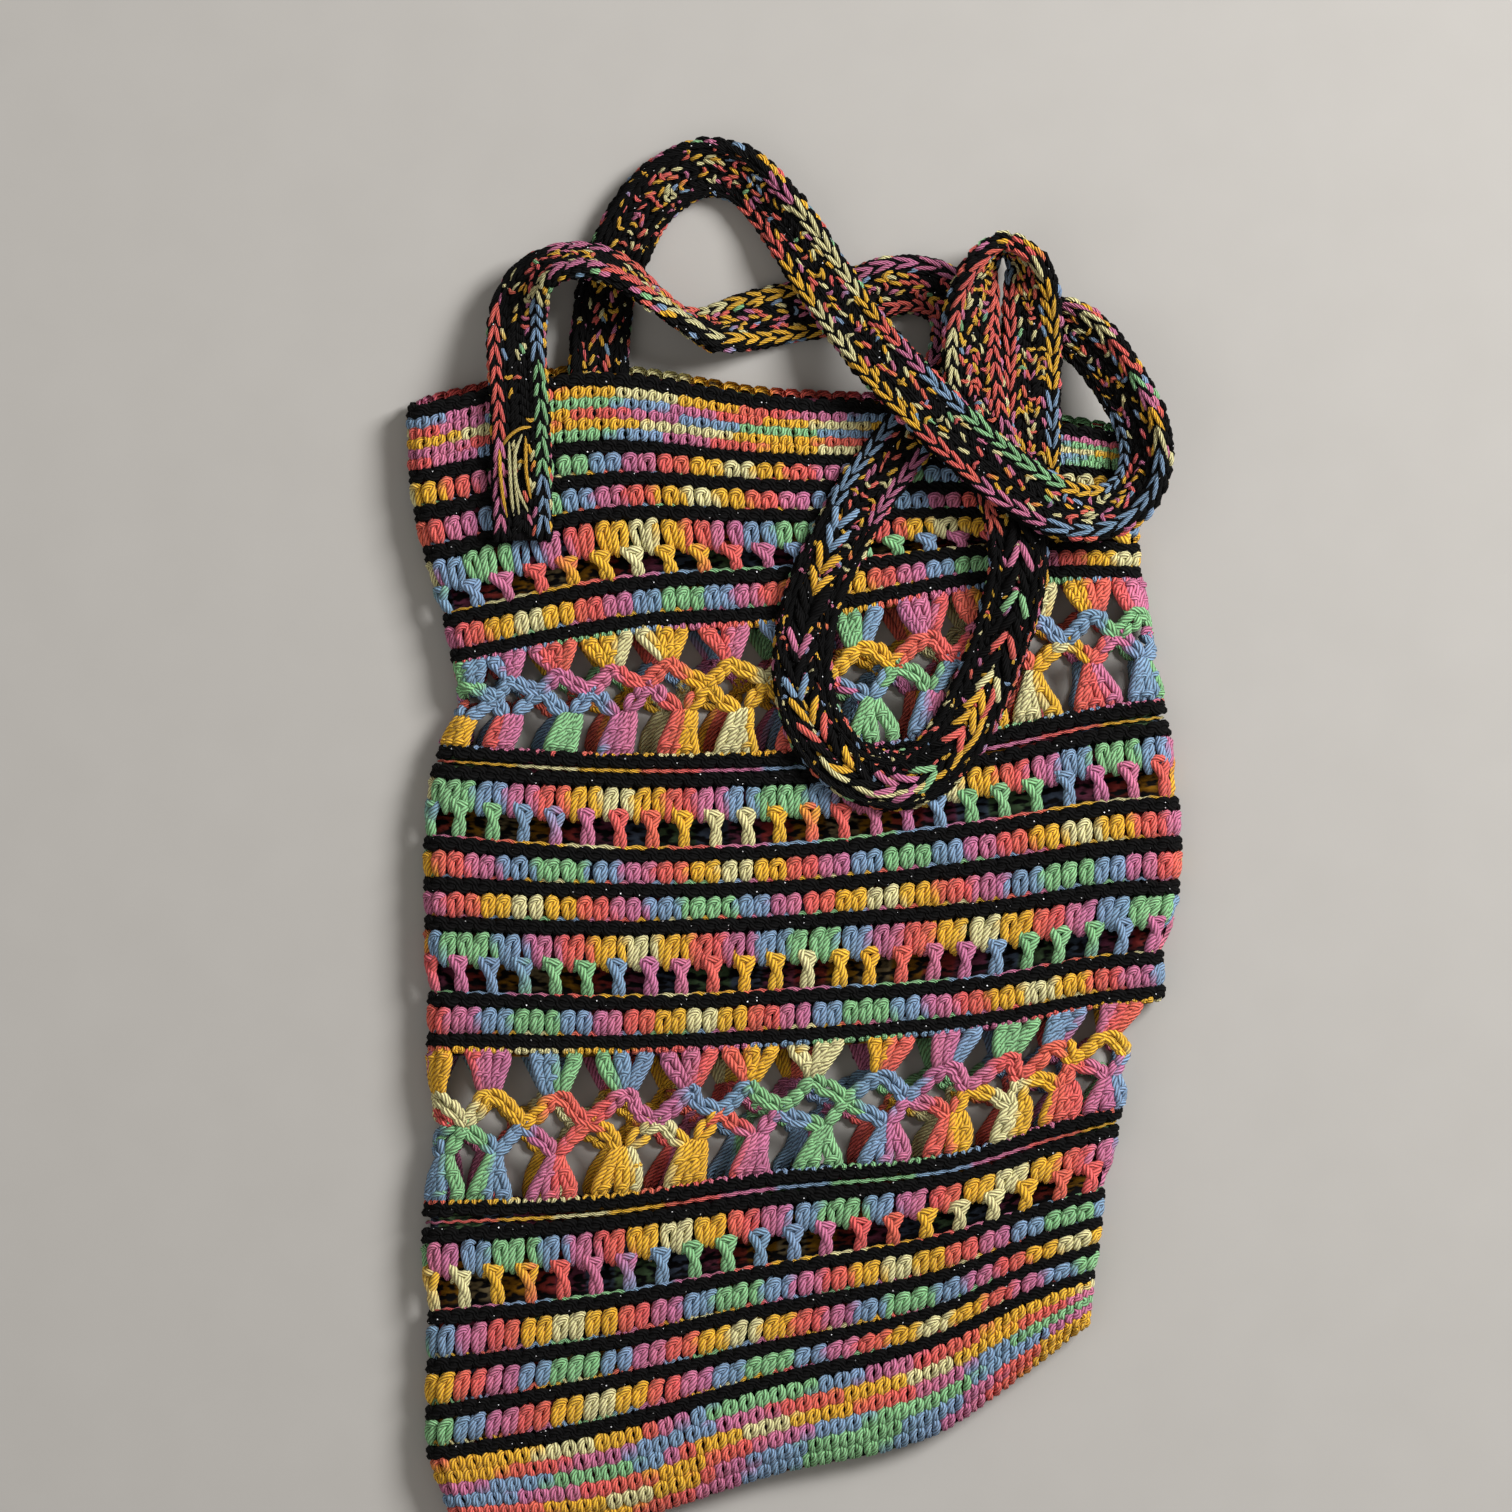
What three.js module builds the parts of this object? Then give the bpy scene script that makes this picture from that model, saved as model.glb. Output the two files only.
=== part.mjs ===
// Crochet tote bag with two banded handles, laid flat on its back panel.
// Millimetres, +Y towards the mouth, +Z up from the surface it lies on.
import * as THREE from "three";

// The bag is worked in the round: 96 stitches, 48 on each panel.
const STITCHES = 96;
const PANEL_STITCHES = STITCHES / 2;
const CLOTH = 3; // thickness of the crocheted cloth
const BAG_HEIGHT = 15; // top of the front panel above the surface, where it lies level
const SIDE_FOLD = 7.5; // radius of the soft fold down each side
const HALF_WIDTH = 152; // half of the bag's even width, used to share out the stitches
const BACK_RIM_RISE = 3; // the back panel's rim stands this far past the front one's

// The rounds that show as lines across the bag. left and right are the bag's edges there,
// y is how high the round lies at each of the shares of the width in ACROSS.
const ACROSS = [0, 0.25, 0.5, 0.75, 0.9, 1];
const ROUNDS = [
  { round: "rim", left: -155.4, right: 138.2, y: [204.2, 218.1, 208.7, 205.0, 198.0, 193.1] },
  { round: "black01", left: -155.8, right: 139.0, y: [201.3, 215.2, 205.4, 201.7, 194.8, 189.8] },
  { round: "black02", left: -155.0, right: 140.2, y: [175.1, 187.8, 182.9, 181.6, 178.8, 175.9] },
  { round: "black03", left: -152.9, right: 141.0, y: [159.9, 174.2, 171.8, 171.0, 169.3, 166.9] },
  { round: "black04", left: -148.4, right: 141.4, y: [143.5, 159.9, 159.5, 160.3, 159.5, 157.8] },
  { round: "black05", left: -140.6, right: 141.9, y: [116.8, 130.8, 136.1, 144.7, 147.2, 146.4] },
  { round: "black06", left: -137.3, right: 142.3, y: [101.7, 115.6, 120.5, 133.7, 136.9, 136.5] },
  { round: "lace1mid", left: -133.7, right: 147.6, y: [82.4, 87.3, 90.2, 101.3, 107.4, 108.6] },
  { round: "black07", left: -143.1, right: 152.9, y: [63.5, 59.0, 60.7, 68.5, 77.5, 81.6] },
  { round: "black08", left: -146.0, right: 154.6, y: [54.9, 51.2, 52.5, 59.4, 68.9, 72.6] },
  { round: "black09", left: -149.2, right: 158.7, y: [25.8, 20.5, 22.5, 32.0, 39.4, 41.8] },
  { round: "black10", left: -149.2, right: 159.9, y: [8.6, 6.1, 7.8, 16.0, 23.0, 25.4] },
  { round: "black11", left: -148.8, right: 159.1, y: [-7.4, -9.4, -6.6, -1.2, 5.7, 7.4] },
  { round: "black12", left: -147.2, right: 151.7, y: [-38.1, -40.2, -37.3, -32.4, -24.2, -21.3] },
  { round: "black13", left: -148.0, right: 152.9, y: [-55.3, -56.2, -53.3, -47.1, -38.9, -35.7] },
  { round: "lace2mid", left: -143.5, right: 141.0, y: [-90.2, -89.0, -82.4, -75.8, -65.2, -59.4] },
  { round: "black14", left: -148.8, right: 134.5, y: [-124.6, -122.2, -111.9, -105.0, -92.2, -84.9] },
  { round: "black15", left: -149.6, right: 133.2, y: [-136.1, -130.8, -120.5, -112.8, -100.4, -92.7] },
  { round: "black16", left: -146.8, right: 127.1, y: [-169.3, -162.8, -150.1, -137.8, -125.5, -118.5] },
  { round: "black17", left: -147.2, right: 126.3, y: [-189.4, -180.4, -166.0, -152.9, -137.8, -129.6] },
  { round: "black18", left: -147.6, right: 125.0, y: [-208.7, -196.4, -182.0, -167.3, -149.2, -140.6] },
  { round: "black19", left: -147.2, right: 123.0, y: [-225.1, -214.0, -195.6, -179.2, -160.7, -151.7] },
  { round: "bottom", left: -140.6, right: 120.5, y: [-244.4, -250.5, -233.3, -218.5, -193.1, -172.6] },
];
const roundIndex = (name) => ROUNDS.findIndex((r) => r.round === name);

// Soft swells and hollows in which the front panel lies.
const SWELLS = [
  { name: "lower right swell", x: 75, y: -125, wide: 62, tall: 42, rise: 5 },
  { name: "lower left hollow", x: -105, y: -160, wide: 45, tall: 50, rise: -2.4 },
  { name: "middle left swell", x: -85, y: -5, wide: 60, tall: 34, rise: 2.6 },
  { name: "second lace sag", x: -20, y: -85, wide: 95, tall: 18, rise: -2.6 },
  { name: "first lace sag", x: -105, y: 86, wide: 40, tall: 18, rise: -2.6 },
  { name: "bottom swell", x: -40, y: -215, wide: 70, tall: 26, rise: 2.2 },
  { name: "right side swell", x: 125, y: 0, wide: 34, tall: 45, rise: 2.2 },
];

// Openings in the two lace bands, in stitches from the middle of a repeat and in shares of the
// band's height. Each band repeats every LACE_REPEAT stitches.
const LACE_REPEAT = 4;
const LACE_START = 0.5; // where the first repeat's middle lies, in stitches from the left fold
const LACE_TALL = 12; // height of a band in stitch widths, for sharing out its triangles
const LACE = [
  {
    top: "black06",
    bottom: "black07",
    upper: [[1.7, 0.17], [2.3, 0.17], [2.85, 0.31], [2, 0.41], [1.15, 0.31]],
    middle: [[0, 0.33], [1.05, 0.4], [1.05, 0.5], [0, 0.57], [-1.05, 0.5], [-1.05, 0.4]],
    lower: [[2, 0.55], [2.85, 0.67], [2.5, 0.91], [1.5, 0.91], [1.15, 0.67]],
  },
  {
    top: "black13",
    bottom: "black14",
    upper: [[1.75, 0.15], [2.25, 0.15], [2.75, 0.28], [2, 0.4], [1.25, 0.28]],
    middle: [[0, 0.34], [0.9, 0.41], [0.9, 0.52], [0, 0.59], [-0.9, 0.52], [-0.9, 0.41]],
    lower: [[2, 0.57], [2.95, 0.7], [2.6, 0.92], [1.4, 0.92], [1.05, 0.7]],
  },
];

// Filet rounds: one stitch of post, one stitch of gap. from and to are shares of the way
// from the round above to the round below, gaps the stitches over which they are cut.
const FILET = [
  { above: "black04", below: "black05", from: 0.6, to: 0.87, gaps: [24, 47] },
  { above: "black08", below: "black09", from: 0.48, to: 0.87, gaps: [0, 96] },
  { above: "black11", below: "black12", from: 0.5, to: 0.88, gaps: [0, 96] },
  { above: "black15", below: "black16", from: 0.5, to: 0.88, gaps: [0, 96] },
];

// Handles: a thick band, rounded at its edges. roll turns its face up on edge, in degrees.
const HANDLE_WIDTH = 24;
const HANDLE_THICK = 6.4;
const HANDLE_STEP = 8.5; // distance between two sections
const FRONT_HANDLE = [
  { x: -109.5, y: 149.2, z: 18.6, roll: 0 },
  { x: -109.5, y: 161.9, z: 18.6, roll: 0 },
  { x: -109.9, y: 178.3, z: 18.6, roll: 0 },
  { x: -110.3, y: 194.8, z: 18.6, roll: 0 },
  { x: -110.7, y: 207.9, z: 18.9, roll: 0 },
  { x: -111.5, y: 220.2, z: 18.6, roll: -2 },
  { x: -111.9, y: 232.5, z: 15.6, roll: -8 },
  { x: -110.3, y: 244.8, z: 15.4, roll: -22 },
  { x: -105.0, y: 255.4, z: 17.5, roll: -42 },
  { x: -95.1, y: 262.0, z: 20.2, roll: -58 },
  { x: -81.2, y: 262.8, z: 20.8, roll: -62 },
  { x: -68.1, y: 257.5, z: 20.4, roll: -68 },
  { x: -55.8, y: 248.0, z: 17.6, roll: -78 },
  { x: -43.5, y: 239.0, z: 14.6, roll: -78 },
  { x: -32.0, y: 235.8, z: 10.4, roll: -48 },
  { x: -19.7, y: 239.0, z: 5.6, roll: -16 },
  { x: -6.1, y: 242.3, z: 3.6, roll: 0 },
  { x: 12.3, y: 245.6, z: 3.5, roll: 0 },
  { x: 28.7, y: 250.5, z: 3.5, roll: 0 },
  { x: 43.5, y: 254.6, z: 3.5, roll: 0 },
  { x: 57.4, y: 253.8, z: 3.6, roll: 0 },
  { x: 67.6, y: 246.4, z: 5.0, roll: 0 },
  { x: 70.5, y: 234.1, z: 8.6, roll: 0 },
  { x: 67.2, y: 221.0, z: 14.4, roll: 0 },
  { x: 60.3, y: 207.9, z: 19.0, roll: 0 },
  { x: 50.8, y: 194.8, z: 18.8, roll: 0 },
  { x: 39.8, y: 180.8, z: 18.6, roll: 0 },
  { x: 29.1, y: 166.0, z: 18.6, roll: 0 },
  { x: 19.7, y: 148.4, z: 18.6, roll: 0 },
  { x: 10.7, y: 129.2, z: 18.6, roll: 0 },
  { x: 5.7, y: 108.6, z: 18.6, roll: 0 },
  { x: 5.7, y: 88.1, z: 18.6, roll: 0 },
  { x: 11.9, y: 70.1, z: 18.6, roll: 0 },
  { x: 24.6, y: 56.6, z: 18.6, roll: 0 },
  { x: 41.0, y: 50.8, z: 18.6, roll: 0 },
  { x: 56.6, y: 56.2, z: 18.6, roll: 0 },
  { x: 68.9, y: 69.7, z: 18.6, roll: 0 },
  { x: 78.3, y: 88.1, z: 18.6, roll: 0 },
  { x: 85.3, y: 106.6, z: 19.2, roll: 0 },
  { x: 90.2, y: 123.0, z: 22.4, roll: 0 },
  { x: 93.1, y: 138.2, z: 25.4, roll: 0 },
  { x: 92.2, y: 153.8, z: 25.7, roll: 0 },
  { x: 87.7, y: 169.3, z: 25.7, roll: 0 },
  { x: 82.0, y: 184.5, z: 25.7, roll: 0 },
  { x: 77.5, y: 199.7, z: 25.7, roll: 0 },
  { x: 75.0, y: 215.2, z: 24.6, roll: 4 },
  { x: 73.8, y: 231.6, z: 21.5, roll: 14 },
  { x: 74.6, y: 247.2, z: 21.0, roll: 36 },
  { x: 77.9, y: 261.2, z: 21.4, roll: 66 },
  { x: 87.3, y: 271.0, z: 19.6, roll: 88 },
  { x: 96.3, y: 264.4, z: 19.0, roll: 66 },
  { x: 98.8, y: 252.1, z: 18.4, roll: 32 },
  { x: 99.2, y: 239.0, z: 16.4, roll: 8 },
  { x: 98.8, y: 224.3, z: 15.8, roll: 0 },
  { x: 98.4, y: 208.7, z: 18.4, roll: 0 },
  { x: 98.4, y: 194.8, z: 18.6, roll: 0 },
  { x: 98.4, y: 178.3, z: 18.6, roll: 0 },
  { x: 98.4, y: 161.9, z: 18.6, roll: 0 },
  { x: 98.4, y: 149.2, z: 18.6, roll: 0 },
];
const BACK_HANDLE = [
  { x: -81.2, y: 173.4, z: 6.8, roll: 0 },
  { x: -80.8, y: 190.6, z: 6.8, roll: 0 },
  { x: -79.5, y: 207.0, z: 6.8, roll: 0 },
  { x: -78.7, y: 221.8, z: 6.8, roll: 0 },
  { x: -77.9, y: 234.9, z: 4.6, roll: 0 },
  { x: -76.3, y: 248.0, z: 3.5, roll: 0 },
  { x: -73.4, y: 259.5, z: 3.6, roll: 0 },
  { x: -68.1, y: 272.6, z: 4.4, roll: 4 },
  { x: -60.3, y: 286.6, z: 5.2, roll: 8 },
  { x: -48.4, y: 297.7, z: 6.2, roll: 12 },
  { x: -33.6, y: 303.0, z: 7.0, roll: 18 },
  { x: -18.9, y: 299.3, z: 9.0, roll: 28 },
  { x: -7.0, y: 287.4, z: 10.4, roll: 30 },
  { x: 2.5, y: 274.3, z: 12.0, roll: 18 },
  { x: 10.7, y: 261.2, z: 12.6, roll: 8 },
  { x: 19.7, y: 247.2, z: 13.0, roll: 2 },
  { x: 29.5, y: 233.3, z: 19.6, roll: 0 },
  { x: 41.0, y: 219.3, z: 26.6, roll: 0 },
  { x: 53.3, y: 205.8, z: 32.1, roll: 0 },
  { x: 66.4, y: 193.1, z: 32.8, roll: 0 },
  { x: 80.8, y: 180.4, z: 32.8, roll: 0 },
  { x: 95.9, y: 169.3, z: 32.9, roll: 0 },
  { x: 109.9, y: 161.9, z: 32.4, roll: -10 },
  { x: 123.0, y: 159.9, z: 29.6, roll: -24 },
  { x: 134.9, y: 163.2, z: 27.8, roll: -34 },
  { x: 143.1, y: 172.6, z: 27.0, roll: -38 },
  { x: 145.5, y: 185.7, z: 26.6, roll: -38 },
  { x: 142.7, y: 198.8, z: 25.0, roll: -38 },
  { x: 136.1, y: 212.0, z: 21.8, roll: -36 },
  { x: 128.3, y: 224.3, z: 17.0, roll: -32 },
  { x: 118.9, y: 234.1, z: 11.2, roll: -20 },
  { x: 108.6, y: 237.8, z: 5.6, roll: -6 },
  { x: 99.6, y: 232.9, z: 3.6, roll: 0 },
  { x: 93.9, y: 222.6, z: 4.0, roll: 0 },
  { x: 91.4, y: 209.1, z: 6.4, roll: 0 },
  { x: 91.0, y: 194.8, z: 6.8, roll: 0 },
  { x: 91.0, y: 173.4, z: 6.8, roll: 0 },
];

// A smooth curve through knots, read at t.
function smooth(knots, values, t) {
  let k = 0;
  while (k < knots.length - 2 && t > knots[k + 1]) k += 1;
  const slope = (i) => {
    const a = Math.max(i - 1, 0);
    const b = Math.min(i + 1, knots.length - 1);
    return (values[b] - values[a]) / (knots[b] - knots[a]);
  };
  const span = knots[k + 1] - knots[k];
  const s = (t - knots[k]) / span;
  const s2 = s * s;
  const s3 = s2 * s;
  return (
    (2 * s3 - 3 * s2 + 1) * values[k] +
    (s3 - 2 * s2 + s) * span * slope(k) +
    (3 * s2 - 2 * s3) * values[k + 1] +
    (s3 - s2) * span * slope(k + 1)
  );
}

// Height of the front panel's face above the surface.
function faceHeight(x, y) {
  let height = BAG_HEIGHT;
  for (const s of SWELLS) {
    height += s.rise * Math.exp(-(((x - s.x) / s.wide) ** 2) - ((y - s.y) / s.tall) ** 2);
  }
  return height;
}

// The bag's cross section: along the front panel from the left fold, then back along the
// other one. Returns how far across the stitch lies and the fold's sine and cosine there.
const FLAT_HALF = HALF_WIDTH - SIDE_FOLD;
const QUARTER_TURN = (Math.PI / 2) * SIDE_FOLD;
const GIRTH = 4 * FLAT_HALF + 4 * QUARTER_TURN;
function acrossSection(stitch) {
  const u = ((stitch % STITCHES) + STITCHES) % STITCHES;
  const onFront = u <= PANEL_STITCHES;
  const fromLeft = (onFront ? u : STITCHES - u) * (GIRTH / STITCHES);
  const mirrored = fromLeft > GIRTH / 4;
  const along = mirrored ? GIRTH / 2 - fromLeft : fromLeft;
  const turn = Math.min(along / SIDE_FOLD, Math.PI / 2);
  const straight = Math.max(along - QUARTER_TURN, 0);
  const hand = mirrored ? -1 : 1;
  return {
    flatX: hand * (-FLAT_HALF + straight),
    outX: -hand * Math.cos(turn),
    upZ: (onFront ? 1 : -1) * Math.sin(turn),
  };
}

// A point of the cloth. stitch runs round the bag, round down it (an index into ROUNDS with
// its share), inset is the depth below the outer face and pinch draws the two faces together.
function clothPoint(stitch, round, inset, pinch) {
  const at = acrossSection(stitch);
  const outer = at.flatX + at.outX * SIDE_FOLD;
  const share = (outer / HALF_WIDTH + 1) / 2;
  const low = Math.min(Math.floor(round), ROUNDS.length - 2);
  const part = round - low;
  const blend = (key) => key(ROUNDS[low]) * (1 - part) + key(ROUNDS[low + 1]) * part;
  const left = blend((r) => r.left);
  const right = blend((r) => r.right);
  const scale = (right - left) / (2 * HALF_WIDTH);
  const x = (left + right) / 2 + (at.flatX * scale + at.outX * (SIDE_FOLD - inset));
  const riseShare = Math.max(0, 1 - round / roundIndex("black05"));
  const y =
    blend((r) => smooth(ACROSS, r.y, share)) +
    BACK_RIM_RISE * riseShare * (1 - at.upZ) * 0.5;
  const half = (faceHeight(x, y) / 2) * (1 - pinch);
  const middle = faceHeight(x, y) / 2;
  return new THREE.Vector3(x, y, middle + at.upZ * (half - inset));
}

// One ring of points round the bag. Rings of plain cloth skip every other stitch but
// beside the folds; rings in lace start half a stitch later.
function ringStitches(kind) {
  const list = [];
  for (let u = 0; u < STITCHES; u += kind === "filet" ? 1 : 2) {
    list.push(kind === "lace" ? u + LACE_START : u);
  }
  if (kind === "plain") list.push(1, PANEL_STITCHES - 1, PANEL_STITCHES + 1, STITCHES - 1);
  if (kind === "lace") {
    list.push(1.5, PANEL_STITCHES - 0.5, PANEL_STITCHES + 1.5, STITCHES - 0.5);
  }
  return list.sort((a, b) => a - b);
}

function makeBag() {
  const positions = [];
  const triangle = (a, b, c) => {
    for (const p of [a, b, c]) positions.push(p.x, p.y, p.z);
  };
  const cloth = (u, level, inside) => {
    const stitch = Math.round((((u % STITCHES) + STITCHES) % STITCHES) * 1e4) / 1e4;
    return clothPoint(stitch, level.round, inside ? CLOTH : 0, level.pinch || 0);
  };
  // Both faces of the cloth: the inner one is turned round.
  const bothFaces = (corners) => {
    for (const inside of [false, true]) {
      const [a, b, c] = corners.map(([u, level]) => cloth(u, level, inside));
      if (inside) triangle(a, c, b);
      else triangle(a, b, c);
    }
  };
  // Cloth between two rings with different stitches.
  const zip = (upper, lower, above, below) => {
    const n = upper.length;
    const m = lower.length;
    const uAt = (i) => upper[i % n] + (i >= n ? STITCHES : 0);
    const lAt = (j) => lower[j % m] + (j >= m ? STITCHES : 0);
    let i = 0;
    let j = 0;
    while (i < n || j < m) {
      const takeUpper = j >= m || (i < n && uAt(i + 1) <= lAt(j + 1));
      if (takeUpper) {
        bothFaces([[uAt(i), above], [lAt(j), below], [uAt(i + 1), above]]);
        i += 1;
      } else {
        bothFaces([[uAt(i), above], [lAt(j), below], [lAt(j + 1), below]]);
        j += 1;
      }
    }
  };
  // The cut edge of an opening, corners counter-clockwise as seen from outside.
  const cutEdge = (corners) => {
    corners.forEach((here, k) => {
      const next = corners[(k + 1) % corners.length];
      const [o1, o2] = [cloth(here[0], here[1], false), cloth(next[0], next[1], false)];
      const [i1, i2] = [cloth(here[0], here[1], true), cloth(next[0], next[1], true)];
      triangle(o1, o2, i2);
      triangle(o1, i2, i1);
    });
  };

  // A band of posts and gaps between two rings.
  const filetBand = (above, below, gaps) => {
    for (let u = 0; u < STITCHES; u += 1) {
      const corners = [[u, above], [u, below], [u + 1, below], [u + 1, above]];
      const open = u % 2 === 1 && u >= gaps[0] && u < gaps[1];
      if (open) {
        cutEdge(corners);
      } else {
        bothFaces([corners[0], corners[1], corners[2]]);
        bothFaces([corners[0], corners[2], corners[3]]);
      }
    }
  };

  // A lace band: each repeat is a sheet with whole openings and half of those on its sides.
  const laceBand = (lace, rings) => {
    const start = roundIndex(lace.top);
    const height = roundIndex(lace.bottom) - start;
    const level = (share) => ({ round: start + height * share });
    const half = lace.middle.slice(0, 4);
    for (let u = LACE_START; u < STITCHES; u += LACE_REPEAT) {
      const between = rings.filter((s) => s > u && s < u + LACE_REPEAT);
      const outline = [
        [u, 0],
        ...half.map(([s, f]) => [u + s, f]),
        [u, 1],
        ...between.map((s) => [s, 1]),
        [u + LACE_REPEAT, 1],
        ...half.map(([s, f]) => [u + LACE_REPEAT - s, f]).reverse(),
        [u + LACE_REPEAT, 0],
        ...between.map((s) => [s, 0]).reverse(),
      ];
      const openings = [lace.upper, lace.lower].map((o) => o.map(([s, f]) => [u + s, f]));
      const flat = (list) => list.map(([s, f]) => new THREE.Vector2(s, -f * LACE_TALL));
      const points = [outline, ...openings].flat();
      const faces = THREE.ShapeUtils.triangulateShape(flat(outline), openings.map(flat));
      for (const face of faces) {
        const [a, b, c] = face.map((k) => points[k]);
        const area = (b[0] - a[0]) * (a[1] - c[1]) - (c[0] - a[0]) * (a[1] - b[1]);
        const turned = area > 0 ? [a, b, c] : [a, c, b];
        bothFaces(turned.map(([s, f]) => [s, level(f)]));
      }
      for (const opening of [...openings, lace.middle.map(([s, f]) => [u + s, f])]) {
        cutEdge([...opening].reverse().map(([s, f]) => [s, level(f)]));
      }
    }
  };

  const plain = ringStitches("plain");
  const filet = ringStitches("filet");
  const lacy = ringStitches("lace");
  const at = (name, share = 0) => ({ round: roundIndex(name) + share });
  const filetLevels = (f) => [at(f.above, f.from), at(f.above, f.to)];
  const [f1a, f1b] = filetLevels(FILET[0]);
  const [f2a, f2b] = filetLevels(FILET[1]);
  const [f3a, f3b] = filetLevels(FILET[2]);
  const [f4a, f4b] = filetLevels(FILET[3]);

  const rim = at("rim");
  zip(plain, plain, rim, at("black03"));
  zip(plain, filet, at("black03"), f1a);
  filetBand(f1a, f1b, FILET[0].gaps);
  zip(filet, lacy, f1b, at("black06"));
  laceBand(LACE[0], lacy);
  zip(lacy, filet, at("black07"), f2a);
  filetBand(f2a, f2b, FILET[1].gaps);
  zip(filet, plain, f2b, at("black10"));
  zip(plain, filet, at("black10"), f3a);
  filetBand(f3a, f3b, FILET[2].gaps);
  zip(filet, lacy, f3b, at("black13"));
  laceBand(LACE[1], lacy);
  zip(lacy, filet, at("black14"), f4a);
  filetBand(f4a, f4b, FILET[3].gaps);
  zip(filet, plain, f4b, at("black17"));
  zip(plain, plain, at("black17"), at("black19"));
  const nearBottom = at("black19", 0.8);
  zip(plain, plain, at("black19"), nearBottom);

  // The rim's edge, from the outer face to the inner one.
  plain.forEach((u, k) => {
    const next = plain[(k + 1) % plain.length];
    const [o1, o2] = [cloth(u, rim, false), cloth(next, rim, false)];
    const [i1, i2] = [cloth(u, rim, true), cloth(next, rim, true)];
    triangle(o1, o2, i2);
    triangle(o1, i2, i1);
  });

  // The bottom: the outer face draws together and closes, the inner one closes above it.
  const bottom = { round: ROUNDS.length - 1, pinch: 0.45 };
  const frontStitches = plain.filter((u) => u <= PANEL_STITCHES);
  const closeAcross = (level, inside) => {
    frontStitches.slice(1).forEach((u, k) => {
      const before = frontStitches[k];
      const f0 = cloth(before, level, inside);
      const f1 = cloth(u, level, inside);
      const b0 = cloth(STITCHES - before, level, inside);
      const b1 = cloth(STITCHES - u, level, inside);
      const corners = [];
      if (before > 0) corners.push([f1, f0, b0]);
      if (u < PANEL_STITCHES) corners.push([f1, b0, b1]);
      else if (before === 0) corners.push([f1, f0, b1]);
      for (const [a, b, c] of corners) {
        if (inside) triangle(a, c, b);
        else triangle(a, b, c);
      }
    });
  };
  plain.forEach((u, k) => {
    const next = plain[(k + 1) % plain.length];
    const [a0, a1] = [cloth(u, nearBottom, false), cloth(next, nearBottom, false)];
    const [b0, b1] = [cloth(u, bottom, false), cloth(next, bottom, false)];
    triangle(a0, b0, b1);
    triangle(a0, b1, a1);
  });
  closeAcross(bottom, false);
  closeAcross(nearBottom, true);

  const geometry = new THREE.BufferGeometry();
  geometry.setAttribute("position", new THREE.Float32BufferAttribute(positions, 3));
  geometry.computeVertexNormals();
  return geometry;
}

// A handle: an eight-sided band section swept along its stations.
function makeHandle(stations) {
  const curve = new THREE.CatmullRomCurve3(
    stations.map((s) => new THREE.Vector3(s.x, s.y, s.z)),
    false,
    "centripetal",
  );
  const knots = stations.map((s, k) => k / (stations.length - 1));
  const rolls = stations.map((s) => s.roll);
  const count = Math.round(curve.getLength() / HANDLE_STEP);
  const wide = HANDLE_WIDTH / 2;
  const thick = HANDLE_THICK / 2;
  const section = [
    [wide, thick * 0.45],
    [wide * 0.84, thick],
    [-wide * 0.84, thick],
    [-wide, thick * 0.45],
    [-wide, -thick * 0.45],
    [-wide * 0.84, -thick],
    [wide * 0.84, -thick],
    [wide, -thick * 0.45],
  ];
  const rings = [];
  for (let k = 0; k <= count; k += 1) {
    const t = curve.getUtoTmapping(k / count);
    const centre = curve.getPoint(t);
    const along = curve.getTangent(t);
    const side = new THREE.Vector3(-along.y, along.x, 0).normalize();
    const up = new THREE.Vector3().crossVectors(along, side).normalize();
    const roll = THREE.MathUtils.degToRad(smooth(knots, rolls, t));
    const across = side.clone().multiplyScalar(Math.cos(roll)).addScaledVector(up, Math.sin(roll));
    const normal = up.clone().multiplyScalar(Math.cos(roll)).addScaledVector(side, -Math.sin(roll));
    rings.push(
      section.map(([w, n]) => centre.clone().addScaledVector(across, w).addScaledVector(normal, n)),
    );
  }
  const positions = [];
  const triangle = (a, b, c) => {
    for (const p of [a, b, c]) positions.push(p.x, p.y, p.z);
  };
  const sides = section.length;
  for (let k = 0; k < count; k += 1) {
    for (let s = 0; s < sides; s += 1) {
      const next = (s + 1) % sides;
      triangle(rings[k][s], rings[k + 1][next], rings[k + 1][s]);
      triangle(rings[k][s], rings[k][next], rings[k + 1][next]);
    }
  }
  for (let s = 1; s < sides - 1; s += 1) {
    triangle(rings[0][0], rings[0][s + 1], rings[0][s]);
    triangle(rings[count][0], rings[count][s], rings[count][s + 1]);
  }
  const geometry = new THREE.BufferGeometry();
  geometry.setAttribute("position", new THREE.Float32BufferAttribute(positions, 3));
  geometry.computeVertexNormals();
  return geometry;
}

const stripedYarn = new THREE.MeshStandardMaterial({ color: 0xc65a63, roughness: 0.95, metalness: 0 });
const marledYarn = new THREE.MeshStandardMaterial({ color: 0x2a2023, roughness: 0.95, metalness: 0 });
const bag = new THREE.Group();
const pieces = [
  ["bag_body", makeBag(), stripedYarn],
  ["front_handle", makeHandle(FRONT_HANDLE), marledYarn],
  ["back_handle", makeHandle(BACK_HANDLE), marledYarn],
];
for (const [name, geometry, material] of pieces) {
  const mesh = new THREE.Mesh(geometry, material);
  mesh.name = name;
  bag.add(mesh);
}

export default bag;
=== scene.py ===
import math

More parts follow.
